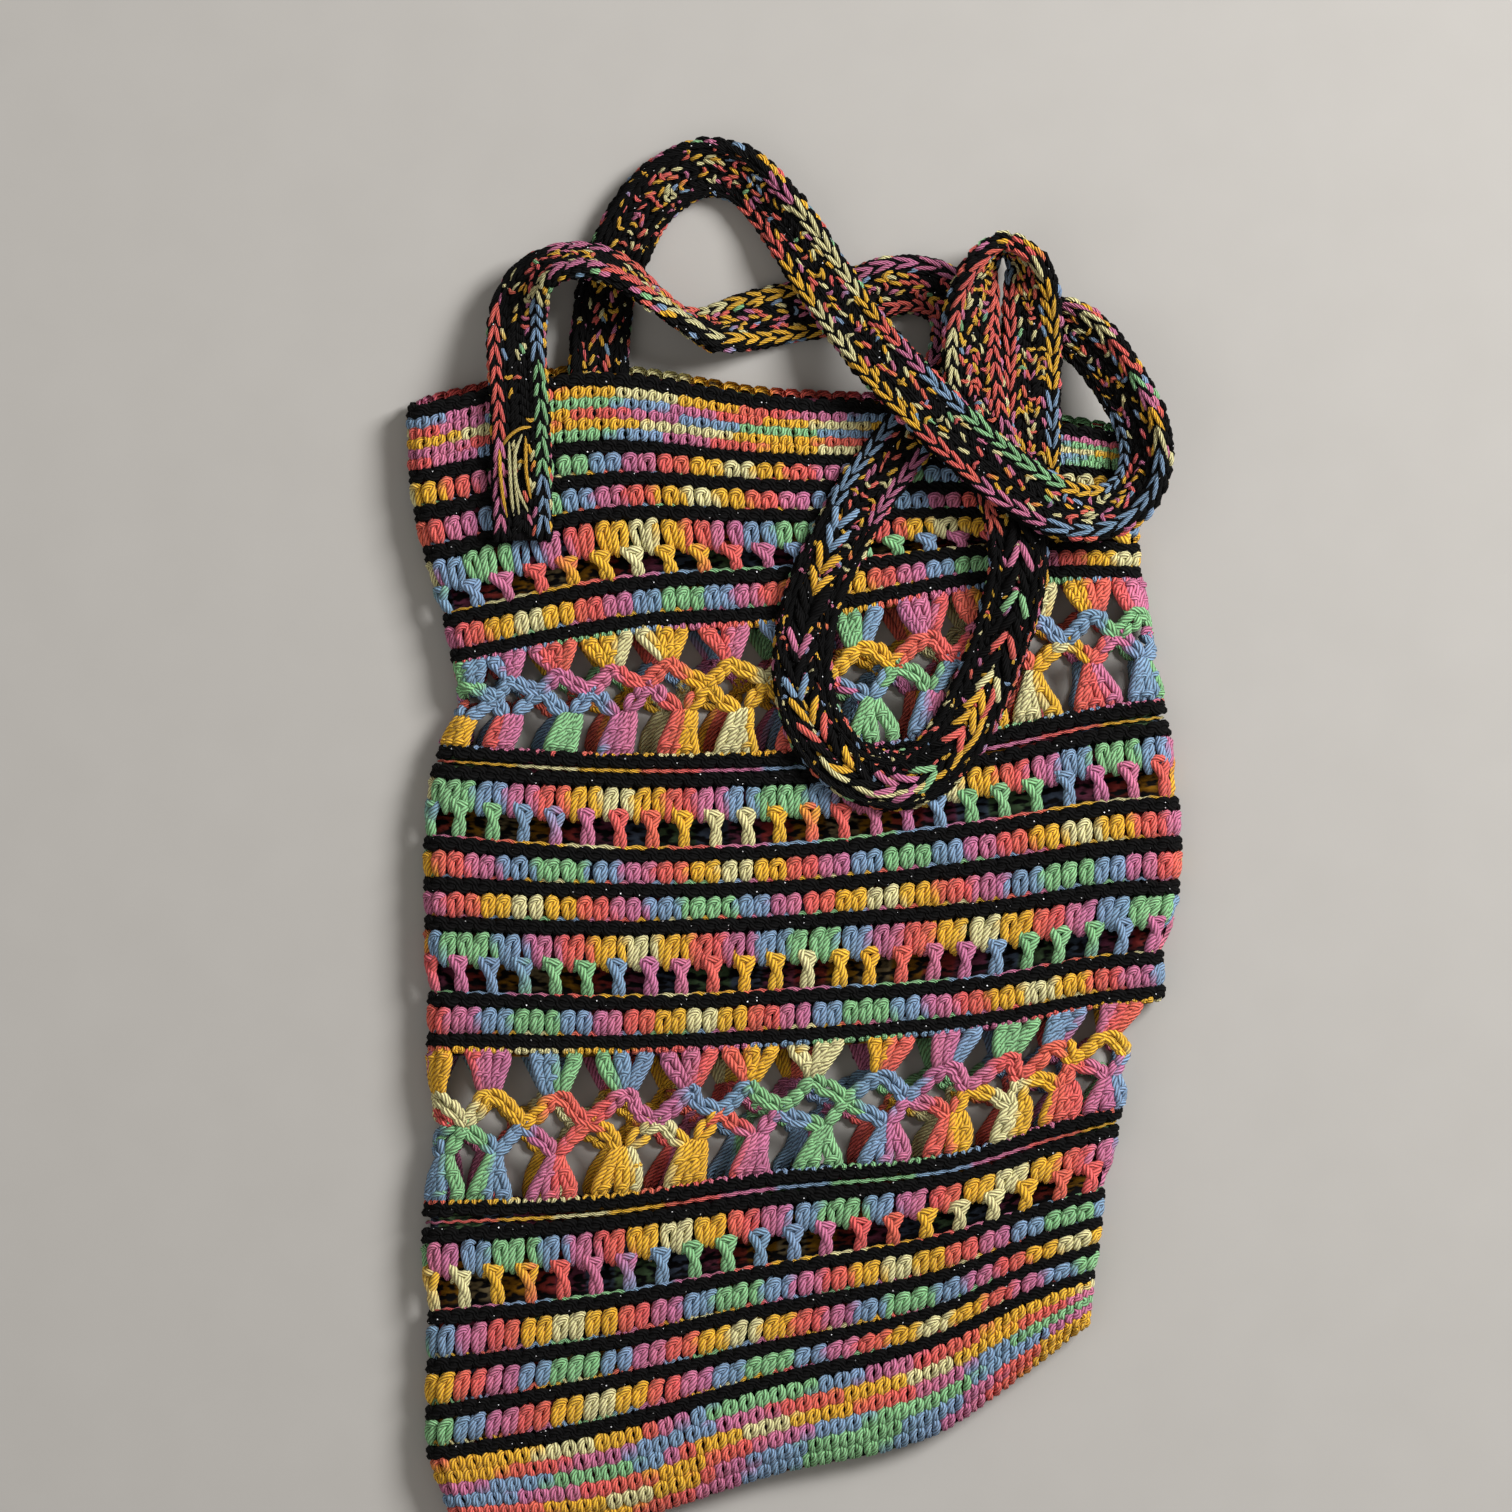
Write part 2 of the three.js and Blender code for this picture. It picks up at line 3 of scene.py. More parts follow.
import bpy
import numpy as np
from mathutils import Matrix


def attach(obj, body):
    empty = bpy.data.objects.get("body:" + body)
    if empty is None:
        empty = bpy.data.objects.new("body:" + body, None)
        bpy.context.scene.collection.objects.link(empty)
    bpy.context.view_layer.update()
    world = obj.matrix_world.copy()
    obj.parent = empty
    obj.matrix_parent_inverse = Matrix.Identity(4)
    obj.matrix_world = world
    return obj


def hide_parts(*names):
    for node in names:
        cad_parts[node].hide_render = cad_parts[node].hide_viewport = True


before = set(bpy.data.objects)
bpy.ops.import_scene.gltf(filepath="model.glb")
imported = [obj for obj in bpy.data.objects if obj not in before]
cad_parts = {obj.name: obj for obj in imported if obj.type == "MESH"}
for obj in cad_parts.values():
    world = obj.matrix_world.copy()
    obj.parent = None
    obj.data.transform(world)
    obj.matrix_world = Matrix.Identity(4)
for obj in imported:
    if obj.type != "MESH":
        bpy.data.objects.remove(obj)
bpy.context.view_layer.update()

# Camera
# The bag is photographed from straight above, with its mouth towards the top of the picture.
# The picture is 620 mm across on the bag's face.
picture_width = 0.620
face_height = 0.012
camera_height = 2.6
film_width = 36
camera_data = bpy.data.cameras.new("camera")
camera = bpy.data.objects.new("camera", camera_data)
bpy.context.scene.collection.objects.link(camera)
camera.location = (-0.0139, 0.0611, camera_height)
camera_data.sensor_width = film_width
camera_data.lens = film_width * (camera_height - face_height) / picture_width
camera_data.clip_end = 20
bpy.context.scene.camera = camera

# Bag cloth
# One piece crocheted in the round, 96 stitches about, lying flat on its back panel. This is
# the closed ground of the cloth, 2 mm under its face, with the lace and filet gaps left open.
stitches_round = 96
panel = 48
bag_height = 15.0
side_fold = 7.5
half_width = 152.0
back_rim_rise = 3.0
ground_depth = 2.1
# how far the stitches of the underside are pressed into the cloth
strand_sink = 1.2
# each round's line: its left and right ends, and its heights at these shares of the way across
across = np.array([0, 0.25, 0.5, 0.75, 0.9, 1])
rounds = [
    ("rim", -155.4, 138.2, [204.2, 218.1, 208.7, 205.0, 198.0, 193.1]),
    ("black01", -155.8, 139.0, [201.3, 215.2, 205.4, 201.7, 194.8, 189.8]),
    ("black02", -155.0, 140.2, [175.1, 187.8, 182.9, 181.6, 178.8, 175.9]),
    ("black03", -152.9, 141.0, [159.9, 174.2, 171.8, 171.0, 169.3, 166.9]),
    ("black04", -148.4, 141.4, [143.5, 159.9, 159.5, 160.3, 159.5, 157.8]),
    ("black05", -140.6, 141.9, [116.8, 130.8, 136.1, 144.7, 147.2, 146.4]),
    ("black06", -137.3, 142.3, [101.7, 115.6, 120.5, 133.7, 136.9, 136.5]),
    ("lace1mid", -133.7, 147.6, [82.4, 87.3, 90.2, 101.3, 107.4, 108.6]),
    ("black07", -143.1, 152.9, [63.5, 59.0, 60.7, 68.5, 77.5, 81.6]),
    ("black08", -146.0, 154.6, [54.9, 51.2, 52.5, 59.4, 68.9, 72.6]),
    ("black09", -149.2, 158.7, [25.8, 20.5, 22.5, 32.0, 39.4, 41.8]),
    ("black10", -149.2, 159.9, [8.6, 6.1, 7.8, 16.0, 23.0, 25.4]),
    ("black11", -148.8, 159.1, [-7.4, -9.4, -6.6, -1.2, 5.7, 7.4]),
    ("black12", -147.2, 151.7, [-38.1, -40.2, -37.3, -32.4, -24.2, -21.3]),
    ("black13", -148.0, 152.9, [-55.3, -56.2, -53.3, -47.1, -38.9, -35.7]),
    ("lace2mid", -143.5, 141.0, [-90.2, -89.0, -82.4, -75.8, -65.2, -59.4]),
    ("black14", -148.8, 134.5, [-124.6, -122.2, -111.9, -105.0, -92.2, -84.9]),
    ("black15", -149.6, 133.2, [-136.1, -130.8, -120.5, -112.8, -100.4, -92.7]),
    ("black16", -146.8, 127.1, [-169.3, -162.8, -150.1, -137.8, -125.5, -118.5]),
    ("black17", -147.2, 126.3, [-189.4, -180.4, -166.0, -152.9, -137.8, -129.6]),
    ("black18", -147.6, 125.0, [-208.7, -196.4, -182.0, -167.3, -149.2, -140.6]),
    ("black19", -147.2, 123.0, [-225.1, -214.0, -195.6, -179.2, -160.7, -151.7]),
    ("bottom", -135.0, 120.5, [-256.0, -253.0, -233.8, -218.5, -193.1, -172.6]),
]
row_at = {name: k for k, (name, *_) in enumerate(rounds)}
left_edge = np.array([r[1] for r in rounds])
right_edge = np.array([r[2] for r in rounds])
row_heights = np.array([r[3] for r in rounds])
# the middle, half width, half height and lift of each soft rise or hollow of the cloth, in mm
swells = [
    ("lower right swell", 75, -125, 62, 42, 5.0),
    ("lower left hollow", -105, -160, 45, 50, -2.4),
    ("middle left swell", -85, -5, 60, 34, 2.6),
    ("second lace sag", -20, -85, 95, 18, -2.6),
    ("first lace sag", -105, 86, 40, 18, -2.6),
    ("bottom swell", -40, -215, 70, 26, 2.2),
    ("right side swell", 125, 0, 34, 45, 2.2),
]
flat_half = half_width - side_fold
quarter_turn = math.pi / 2 * side_fold
girth = 4 * flat_half + 4 * quarter_turn


def smooth(knots, values, t):
    # a smooth curve through the knots; values has a row of knot heights for each t
    k = np.clip(np.searchsorted(knots, t, side="left") - 1, 0, len(knots) - 2)
    pick = np.arange(len(t))
    before = np.maximum(k - 1, 0)
    after = np.minimum(k + 2, len(knots) - 1)
    slope_a = (values[pick, k + 1] - values[pick, before]) / (knots[k + 1] - knots[before])
    slope_b = (values[pick, after] - values[pick, k]) / (knots[after] - knots[k])
    span = knots[k + 1] - knots[k]
    s = (t - knots[k]) / span
    return (
        (2 * s**3 - 3 * s**2 + 1) * values[pick, k]
        + (s**3 - 2 * s**2 + s) * span * slope_a
        + (3 * s**2 - 2 * s**3) * values[pick, k + 1]
        + (s**3 - s**2) * span * slope_b
    )


def cloth_place(path):
    # path holds stitch, round and height over the cloth's face in mm; returns mm
    shape = path.shape[:-1]
    stitch, row, over = (path[..., k].ravel() for k in range(3))
    u = np.mod(stitch, stitches_round)
    front = u <= panel
    from_left = np.where(front, u, stitches_round - u) * girth / stitches_round
    mirrored = from_left > girth / 4
    along = np.where(mirrored, girth / 2 - from_left, from_left)
    turn = np.minimum(along / side_fold, math.pi / 2)
    hand = np.where(mirrored, -1.0, 1.0)
    flat_x = hand * (-flat_half + np.maximum(along - quarter_turn, 0))
    out_x = -hand * np.cos(turn)
    up_z = np.where(front, 1.0, -1.0) * np.sin(turn)
    share = ((flat_x + out_x * side_fold) / half_width + 1) / 2
    row = np.clip(row, 0, len(rounds) - 1)
    low = np.minimum(row.astype(int), len(rounds) - 2)
    part = row - low
    left = left_edge[low] * (1 - part) + left_edge[low + 1] * part
    right = right_edge[low] * (1 - part) + right_edge[low + 1] * part
    scale = (right - left) / (2 * half_width)
    x = (left + right) / 2 + flat_x * scale + out_x * (side_fold + over)
    y_low = smooth(across, row_heights[low], share)
    y_high = smooth(across, row_heights[low + 1], share)
    # the back panel's rim lies a little above the front's
    rise = np.maximum(0, 1 - row / row_at["black05"]) * back_rim_rise * (1 - up_z) / 2
    y = y_low * (1 - part) + y_high * part + rise
    high = np.full_like(x, bag_height)
    for _, sx, sy, wide, tall, lift in swells:
        high += lift * np.exp(-(((x - sx) / wide) ** 2) - ((y - sy) / tall) ** 2)
    # the panels close on each other along the bottom
    pinch = 0.85 * np.clip((row - 21.6) / 0.4, 0, 1) ** 2
    sunk = over - strand_sink * np.clip(0.5 - up_z, 0, 1)
    z = high / 2 + up_z * (high / 2 * (1 - pinch) + sunk)
    return np.stack([x, y, z], -1).reshape(*shape, 3)


# the gaps of the filet rounds, as shares of the way to the next black round
filet_rows = {
    "black04": (0.58, 0.88),
    "black08": (0.46, 0.89),
    "black11": (0.48, 0.9),
    "black15": (0.48, 0.9),
}


def mesh_from(name, points_mm, quads, materials, uv, values, finish=None):
    # a smooth piece of four-sided faces; finish is the material of each face
    mesh = bpy.data.meshes.new(name)
    mesh.vertices.add(len(points_mm))
    mesh.vertices.foreach_set("co", (points_mm / 1000).astype(np.float32).ravel())
    mesh.loops.add(quads.size)
    mesh.loops.foreach_set("vertex_index", quads.astype(np.int32).ravel())
    mesh.polygons.add(len(quads))
    mesh.polygons.foreach_set("loop_start", np.arange(0, quads.size, 4, dtype=np.int32))
    mesh.polygons.foreach_set("use_smooth", np.ones(len(quads), bool))
    for material in materials:
        mesh.materials.append(material)
    if finish is not None:
        mesh.polygons.foreach_set("material_index", finish.astype(np.int32))
    for key, value in values.items():
        layer = mesh.attributes.new(key, "FLOAT", "POINT")
        layer.data.foreach_set("value", value.astype(np.float32))
    for key, corners in uv.items():
        layer = mesh.uv_layers.new(name=key)
        layer.data.foreach_set("uv", corners.astype(np.float32).ravel())
    mesh.update()
    mesh.validate()
    piece = bpy.data.objects.new(name, mesh)
    bpy.context.scene.collection.objects.link(piece)
    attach(piece, "root")
    return piece


def new_material(name, roughness, sheen):
    # dull cotton: hardly any gloss
    material = bpy.data.materials.new(name)
    material.use_nodes = True
    tree = material.node_tree
    shader = tree.nodes["Principled BSDF"]
    shader.inputs["Roughness"].default_value = roughness
    shader.inputs["Specular IOR Level"].default_value = 0.12
    shader.inputs["Sheen Weight"].default_value = sheen
    shader.inputs["Sheen Roughness"].default_value = 0.45
    return material, tree, shader


def feed(tree, value, socket):
    # sets a socket to a plain value, or joins it to a changing one
    if isinstance(value, (int, float, tuple)):
        socket.default_value = value
    elif value is not None:
        tree.links.new(value, socket)


def sums(tree, kind, a, b=None, clamp=False):
    node = tree.nodes.new("ShaderNodeMath")
    node.operation = kind
    node.use_clamp = clamp
    feed(tree, a, node.inputs[0])
    feed(tree, b, node.inputs[1])
    return node.outputs[0]


def painted(tree, name):
    # a value that the mesh carries at each of its points
    node = tree.nodes.new("ShaderNodeAttribute")
    node.attribute_name = name
    return node.outputs["Fac"]


def blend(tree, kind, factor, a, b):
    node = tree.nodes.new("ShaderNodeMix")
    node.data_type = "RGBA"
    node.blend_type = kind
    feed(tree, factor, node.inputs[0])
    feed(tree, a, node.inputs[6])
    feed(tree, b, node.inputs[7])
    return node.outputs[2]


def new_group(name, inputs, outputs):
    tree = bpy.data.node_groups.new(name, "ShaderNodeTree")
    for socket_name, kind, value in inputs:
        socket = tree.interface.new_socket(name=socket_name, in_out="INPUT", socket_type=kind)
        socket.default_value = value
    for socket_name, kind in outputs:
        tree.interface.new_socket(name=socket_name, in_out="OUTPUT", socket_type=kind)
    entry = tree.nodes.new("NodeGroupInput")
    leave = tree.nodes.new("NodeGroupOutput")
    return tree, entry.outputs, leave.inputs


def use_group(tree, group, **values):
    node = tree.nodes.new("ShaderNodeGroup")
    node.node_tree = group
    for name, value in values.items():
        feed(tree, value, node.inputs[name])
    return node.outputs


# the dyed yarn runs through these colours and back, each for about two stitches
dye_colours = [
    (0.000, (0.86, 0.84, 0.42)),
    (0.085, (0.86, 0.82, 0.40)),
    (0.105, (0.96, 0.58, 0.042)),
    (0.275, (0.96, 0.52, 0.026)),
    (0.295, (0.92, 0.180, 0.105)),
    (0.465, (0.90, 0.135, 0.135)),
    (0.485, (0.74, 0.210, 0.350)),
    (0.655, (0.62, 0.190, 0.380)),
    (0.675, (0.250, 0.400, 0.630)),
    (0.845, (0.230, 0.410, 0.590)),
    (0.865, (0.260, 0.610, 0.270)),
    (1.000, (0.300, 0.660, 0.310)),
]
dye_group, given, out = new_group(
    "length_dyed_colour", [("Turns", "NodeSocketFloat", 0.0)], [("Color", "NodeSocketColor")]
)
there_and_back = sums(dye_group, "PINGPONG", given["Turns"], 0.5)
ramp = dye_group.nodes.new("ShaderNodeValToRGB")
dye_group.links.new(sums(dye_group, "MULTIPLY", there_and_back, 2.0), ramp.inputs[0])
stops = ramp.color_ramp.elements
stops[1].position = 1.0
for position, _ in dye_colours[1:-1]:
    stops.new(position)
for stop, (_, colour) in zip(stops, dye_colours):
    stop.color = (*colour, 1)
dye_group.links.new(ramp.outputs[0], out["Color"])

# the ground shows only between the stitches; its dyes are darkened there as painted shade
ground_material, tree, shader = new_material("cloth_ground_painted_shade", 0.95, 0.0)
dyed = use_group(tree, dye_group, Turns=painted(tree, "dye"))["Color"]
dye_in_painted_shade = blend(tree, "MULTIPLY", 1.0, dyed, (0.22, 0.17, 0.17, 1))
dark = (0.004, 0.0035, 0.004, 1)
depth = blend(tree, "MIX", painted(tree, "black"), dye_in_painted_shade, dark)
cloth_uv = tree.nodes.new("ShaderNodeUVMap")
cloth_uv.uv_map = "cloth"
streaks = tree.nodes.new("ShaderNodeTexNoise")
streaks.inputs["Scale"].default_value = 1.0
streaks.inputs["Detail"].default_value = 1.5
tree.links.new(cloth_uv.outputs[0], streaks.inputs["Vector"])
# noise patches where the ground is darkened to black: painted shade
hollow = tree.nodes.new("ShaderNodeMapRange")
tree.links.new(streaks.outputs["Fac"], hollow.inputs["Value"])
hollow.inputs["From Min"].default_value = 0.44
hollow.inputs["From Max"].default_value = 0.56
tree.links.new(blend(tree, "MIX", hollow.outputs[0], depth, dark), shader.inputs["Base Color"])
bump = tree.nodes.new("ShaderNodeBump")
bump.inputs["Distance"].default_value = 0.0015
tree.links.new(streaks.outputs["Fac"], bump.inputs["Height"])
tree.links.new(bump.outputs[0], shader.inputs["Normal"])

# the cloth's own levels lie closer together where it has gaps or closes at the bottom
levels = [0.0]
for k, (name, *_) in enumerate(rounds[:-1]):
    if name in ("black06", "lace1mid", "black13", "lace2mid"):
        steps = 11
    elif name in filet_rows:
        steps = 9
    elif name == "black19":
        steps = 10
    else:
        steps = 4
    levels += list(k + np.arange(1, steps + 1) / steps)
levels = np.array(levels)
columns = np.arange(0, stitches_round, 0.5)
ss, rr = np.meshgrid(columns, levels)
points = cloth_place(np.stack([ss, rr, np.full_like(ss, -ground_depth)], -1)).reshape(-1, 3)
n_col = len(columns)
# the gaps of the lace and filet rounds, the filet's on the front panel alone
cell_s, cell_r = np.meshgrid(columns + 0.25, (levels[1:] + levels[:-1]) / 2)
open_cell = np.zeros(cell_s.shape, bool)
lace_top, lace_low = 0.07, 0.94
for name in ("black06", "black13"):
    share = (cell_r - row_at[name]) / 2
    open_cell |= (share > lace_top) & (share < lace_low)
for name, (top, low) in filet_rows.items():
    share = cell_r - row_at[name]
    open_cell |= (share > top) & (share < low) & (cell_s < panel)
i, j = np.nonzero(~open_cell)
right = (j + 1) % n_col
quads = np.stack(
    [i * n_col + j, (i + 1) * n_col + j, (i + 1) * n_col + right, i * n_col + right], -1
)
# the ground is black under the black rounds and dyed between them
nearest = np.rint(rr).astype(int)
is_black = np.array([r[0].startswith("black") for r in rounds])[nearest]
is_black &= np.abs(rr - nearest) < 0.15
ground_dye = (ss - 12.0) / 21.5 + 0.37 * np.floor(rr)
sheet_uv = np.stack([ss / stitches_round, rr / len(rounds)], -1).reshape(-1, 2)
corner_uv = sheet_uv[quads.ravel()].reshape(-1, 4, 2)
corner_uv[right == 0, 2:, 0] = 1.0
corner_uv = corner_uv.reshape(-1, 2)
ground = mesh_from(
    "bag_ground",
    points,
    quads,
    [ground_material],
    {"OFBake": corner_uv, "cloth": corner_uv * [1.1 * stitches_round, 12.0 * len(rounds)]},
    {"dye": ground_dye.ravel(), "black": is_black.astype(float).ravel()},
)
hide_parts("bag_body")

# Yarn
# Plied cotton dyed in short lengths of colour, and a black cotton with a fine glitter thread
# in it. Every strand is a soft tube with its plies twisted round it.


def clouds(tree, scale, detail):
    # a soft mottle that changes over the object
    where = tree.nodes.new("ShaderNodeTexCoord")
    noise = tree.nodes.new("ShaderNodeTexNoise")
    noise.inputs["Scale"].default_value = scale
    noise.inputs["Detail"].default_value = detail
    tree.links.new(where.outputs["Object"], noise.inputs["Vector"])
    return noise.outputs["Fac"]


ply_group, given, out = new_group(
    "plied_cotton",
    [
        ("Plies per mm", "NodeSocketFloat", 0.42),
        ("Plies", "NodeSocketFloat", 6.0),
        ("Fuzz", "NodeSocketFloat", 0.3),
    ],
    [("Groove Shade", "NodeSocketFloat"), ("Fibre", "NodeSocketFloat"), ("Normal", "NodeSocketVector")],
)
strand_uv = ply_group.nodes.new("ShaderNodeUVMap")
strand_uv.uv_map = "strand"
split = ply_group.nodes.new("ShaderNodeSeparateXYZ")
ply_group.links.new(strand_uv.outputs[0], split.inputs[0])
twist = sums(
    ply_group, "ADD", sums(ply_group, "MULTIPLY", split.outputs[0], given["Plies per mm"]),
    sums(ply_group, "MULTIPLY", split.outputs[1], given["Plies"]),
)
saw = sums(ply_group, "MULTIPLY", sums(ply_group, "PINGPONG", twist, 0.5), 2.0)
ply = sums(ply_group, "POWER", saw, 0.55)
fibre = clouds(ply_group, 2600, 3.0)
# Groove Shade is highest in the grooves between the plies, where the materials paint shade
ply_group.links.new(sums(ply_group, "SUBTRACT", 1.0, ply, clamp=True), out["Groove Shade"])
ply_group.links.new(fibre, out["Fibre"])
bump = ply_group.nodes.new("ShaderNodeBump")
bump.inputs["Distance"].default_value = 0.0009
height = sums(ply_group, "ADD", ply, sums(ply_group, "MULTIPLY", fibre, given["Fuzz"]))
ply_group.links.new(height, bump.inputs["Height"])
ply_group.links.new(bump.outputs[0], out["Normal"])

dyed_cotton, tree, shader = new_material("dyed_cotton", 0.8, 0.06)
dyed = use_group(tree, dye_group, Turns=painted(tree, "dye"))["Color"]
plies = use_group(tree, ply_group)
unevenness = tree.nodes.new("ShaderNodeMapRange")
tree.links.new(clouds(tree, 150, 1.0), unevenness.inputs["Value"])
for socket, value in (("From Min", 0.3), ("From Max", 0.7), ("To Min", 0.80), ("To Max", 1.06)):
    unevenness.inputs[socket].default_value = value
grey = tree.nodes.new("ShaderNodeCombineXYZ")
for k in range(3):
    tree.links.new(unevenness.outputs[0], grey.inputs[k])
toned = blend(tree, "MULTIPLY", 1.0, dyed, grey.outputs[0])
# the dyes are darkened in the ply grooves: painted shade
groove = sums(tree, "MULTIPLY", plies["Groove Shade"], 0.95)
groove_shaded = blend(tree, "MULTIPLY", groove, toned, (0.30, 0.15, 0.14, 1))
bloom = sums(tree, "MULTIPLY", sums(tree, "SUBTRACT", plies["Fibre"], 0.5, clamp=True), 0.4)
tree.links.new(blend(tree, "MIX", bloom, groove_shaded, (1.0, 0.95, 0.9, 1)), shader.inputs["Base Color"])
tree.links.new(plies["Normal"], shader.inputs["Normal"])

black_cotton, tree, shader = new_material("black_glitter_cotton", 0.85, 0.0)
plies = use_group(tree, ply_group)
sparkle = tree.nodes.new("ShaderNodeTexVoronoi")
sparkle.inputs["Scale"].default_value = 520
where = tree.nodes.new("ShaderNodeTexCoord")
tree.links.new(where.outputs["Object"], sparkle.inputs["Vector"])
lot = tree.nodes.new("ShaderNodeSeparateXYZ")
tree.links.new(sparkle.outputs["Color"], lot.inputs[0])
# the real glitter thread, its glints painted as pale grey specks: a painted highlight
glint = sums(
    tree, "MULTIPLY", sums(tree, "LESS_THAN", sparkle.outputs["Distance"], 0.15),
    sums(tree, "GREATER_THAN", lot.outputs[0], 0.9),
)
# the black is darker still in the ply grooves: painted shade
black_with_groove_shade = blend(tree, "MIX", plies["Groove Shade"], (0.0024, 0.0021, 0.0023, 1), (0.0006, 0.0006, 0.0006, 1))
tree.links.new(blend(tree, "MIX", glint, black_with_groove_shade, (0.85, 0.85, 0.87, 1)), shader.inputs["Base Color"])
tree.links.new(plies["Normal"], shader.inputs["Normal"])

# A turn of the dye runs from cream at 0 through gold at 0.1, coral at 0.19, plum at 0.29 and blue
# at 0.38 to green at 0.5, and back the same way to cream at 1.
# where the cream lies in each round, and after how many stitches it returns
dye_rounds = {
    "rim1": (16.0, 40), "rim2": (28.0, 34), "rim3": (5.5, 38), "rim4": (18.0, 60), "rim5": (28.5, 35),
    "black02": (21.5, 22), "black03": (19.0, 22), "black04": (14.5, 20.3), "filet04": (13.8, 31),
    "black05": (6.2, 20.2), "lace06top": (24.8, 31), "black07": (7.5, 42), "black08": (12.2, 21),
    "filet08": (19.8, 33.5), "black09": (19.8, 21.6), "black10": (7.0, 22.2), "black11": (14.0, 21.3),
    "filet11": (24.8, 31.5), "black12": (18.0, 21.5), "lace13top": (7.5, 41.5), "black14": (11.0, 40),
    "black15": (17.8, 22.6), "filet15": (2.5, 36), "black16": (10.3, 23.2), "black17": (22.5, 23.5),
    "black18": (12.5, 23.6), "lace06ring": (16, 40), "lace13ring": (8.5, 46), "backrim": (80, 58),
    "lace06tri": (12.8, 27), "lace06arch": (23.2, 50), "lace13arch": (1.0, 48),
}
# rounds where the lengths vary more: stitches from the left edge, and the turns of the dye there
dye_knots = {
    "lace06arm": (
        [8, 13.5, 15.2, 17, 22, 24, 27, 31.5, 34, 36, 38.5, 41, 43.5, 45, 47],
        [-0.38, -0.285, -0.19, -0.095, -0.08, 0, 0.36, 0.5, 0.62, 0.715, 0.81, 0.96, 1.19, 1.285, 1.38],
    ),
    "lace06base": (
        [1.1, 3.2, 4.8, 6.4, 8.3, 10, 12, 15, 16.9, 19.2, 38.7, 48],
        [-0.905, -0.81, -0.715, -0.62, -0.5, -0.38, -0.285, -0.19, -0.095, 0, 1, 1.477],
    ),
    "lace13tri": (
        [0.6, 2.9, 4.3, 7.2, 10.6, 13.7, 16.4, 19.1, 23, 25.9, 29, 31, 33.7, 35.5, 38.4, 43.6, 47],
        [
            -0.905, -0.81, -0.715, -0.62, -0.5, -0.38, -0.285, -0.19, -0.095, 0, 0.095, 0.19,
            0.285, 0.38, 0.5, 0.715, 0.9,
        ],
    ),
    "lace13base": (
        [0, 2.8, 5.5, 8, 9.9, 13, 16, 39, 48],
        [-0.64, -0.5, -0.38, -0.285, -0.19, -0.095, 0, 1, 1.39],
    ),
    "bottom1": (
        [0, 5.5, 9.5, 13.5, 15.5, 17, 18.5, 22, 25.3, 28.5, 32.5, 36.7, 42, 48],
        [-0.15, -0.09, 0, 0.095, 0.19, 0.285, 0.38, 0.5, 0.52, 0.62, 0.715, 0.81, 0.905, 0.97],
    ),
    "bottom2": (
        [0, 3, 7.5, 12, 17.5, 22.2, 27, 32, 36, 40, 44, 48],
        [0.095, 0.1, 0.19, 0.285, 0.4, 0.285, 0.19, 0.095, 0, -0.095, -0.19, -0.285],
    ),
    "bottom3": (
        [1, 5, 11.5, 15.8, 17.5, 19.5, 23.5, 27.5, 32.5, 36.5, 40, 44],
        [-0.715, -0.62, -0.5, -0.38, -0.19, -0.095, 0, 0.095, 0.19, 0.285, 0.38, 0.5],
    ),
    "bottom4": (
        [3, 8, 13, 18, 21.5, 25, 29, 35, 42, 46],
        [0.38, 0.285, 0.19, 0.095, 0.19, 0.285, 0.38, 0.5, 0.62, 0.7],
    ),
    "bottom5": (
        [5, 9.5, 13, 17, 18.7, 20.3, 24, 29, 36, 39, 42, 45],
        [0.19, 0.095, 0, -0.095, -0.19, -0.285, -0.38, -0.5, -0.62, -0.715, -0.81, -0.905],
    ),
    "bottom6": (
        [5, 11.5, 16.5, 20.3, 24, 29, 35, 38.5, 41, 45],
        [0.19, 0.095, 0.19, 0.285, 0.38, 0.5, 0.62, 0.715, 0.81, 0.905],
    ),
}


def dye_at(name, stitch):
    # the turns of the dye at each stitch of a round; a whole turn is cream again
    if name in dye_knots:
        from_left = np.where(stitch > panel + 2, stitches_round - stitch, stitch)
        return np.interp(from_left, *dye_knots[name])
    cream, repeat = dye_rounds[name]
    return (stitch - cream) / repeat


# how far each stitch is from its neighbours' shape, as in any hand work
jitter = np.random.default_rng(7)


def curve(controls, count):
    # a smooth line through a few (across, down, over) points
    p = np.array(controls, float)
    p = np.vstack([2 * p[0] - p[1], p, 2 * p[-1] - p[-2]])
    t = np.linspace(0, len(controls) - 1 - 1e-9, count)
    k = t.astype(int)
    f = (t - k)[:, None]
    a, b, c, d = p[k], p[k + 1], p[k + 2], p[k + 3]
    return 0.5 * (
        2 * b + (c - a) * f + (2 * a - 5 * b + 4 * c - d) * f**2 + (3 * b - a - 3 * c + d) * f**3
    )


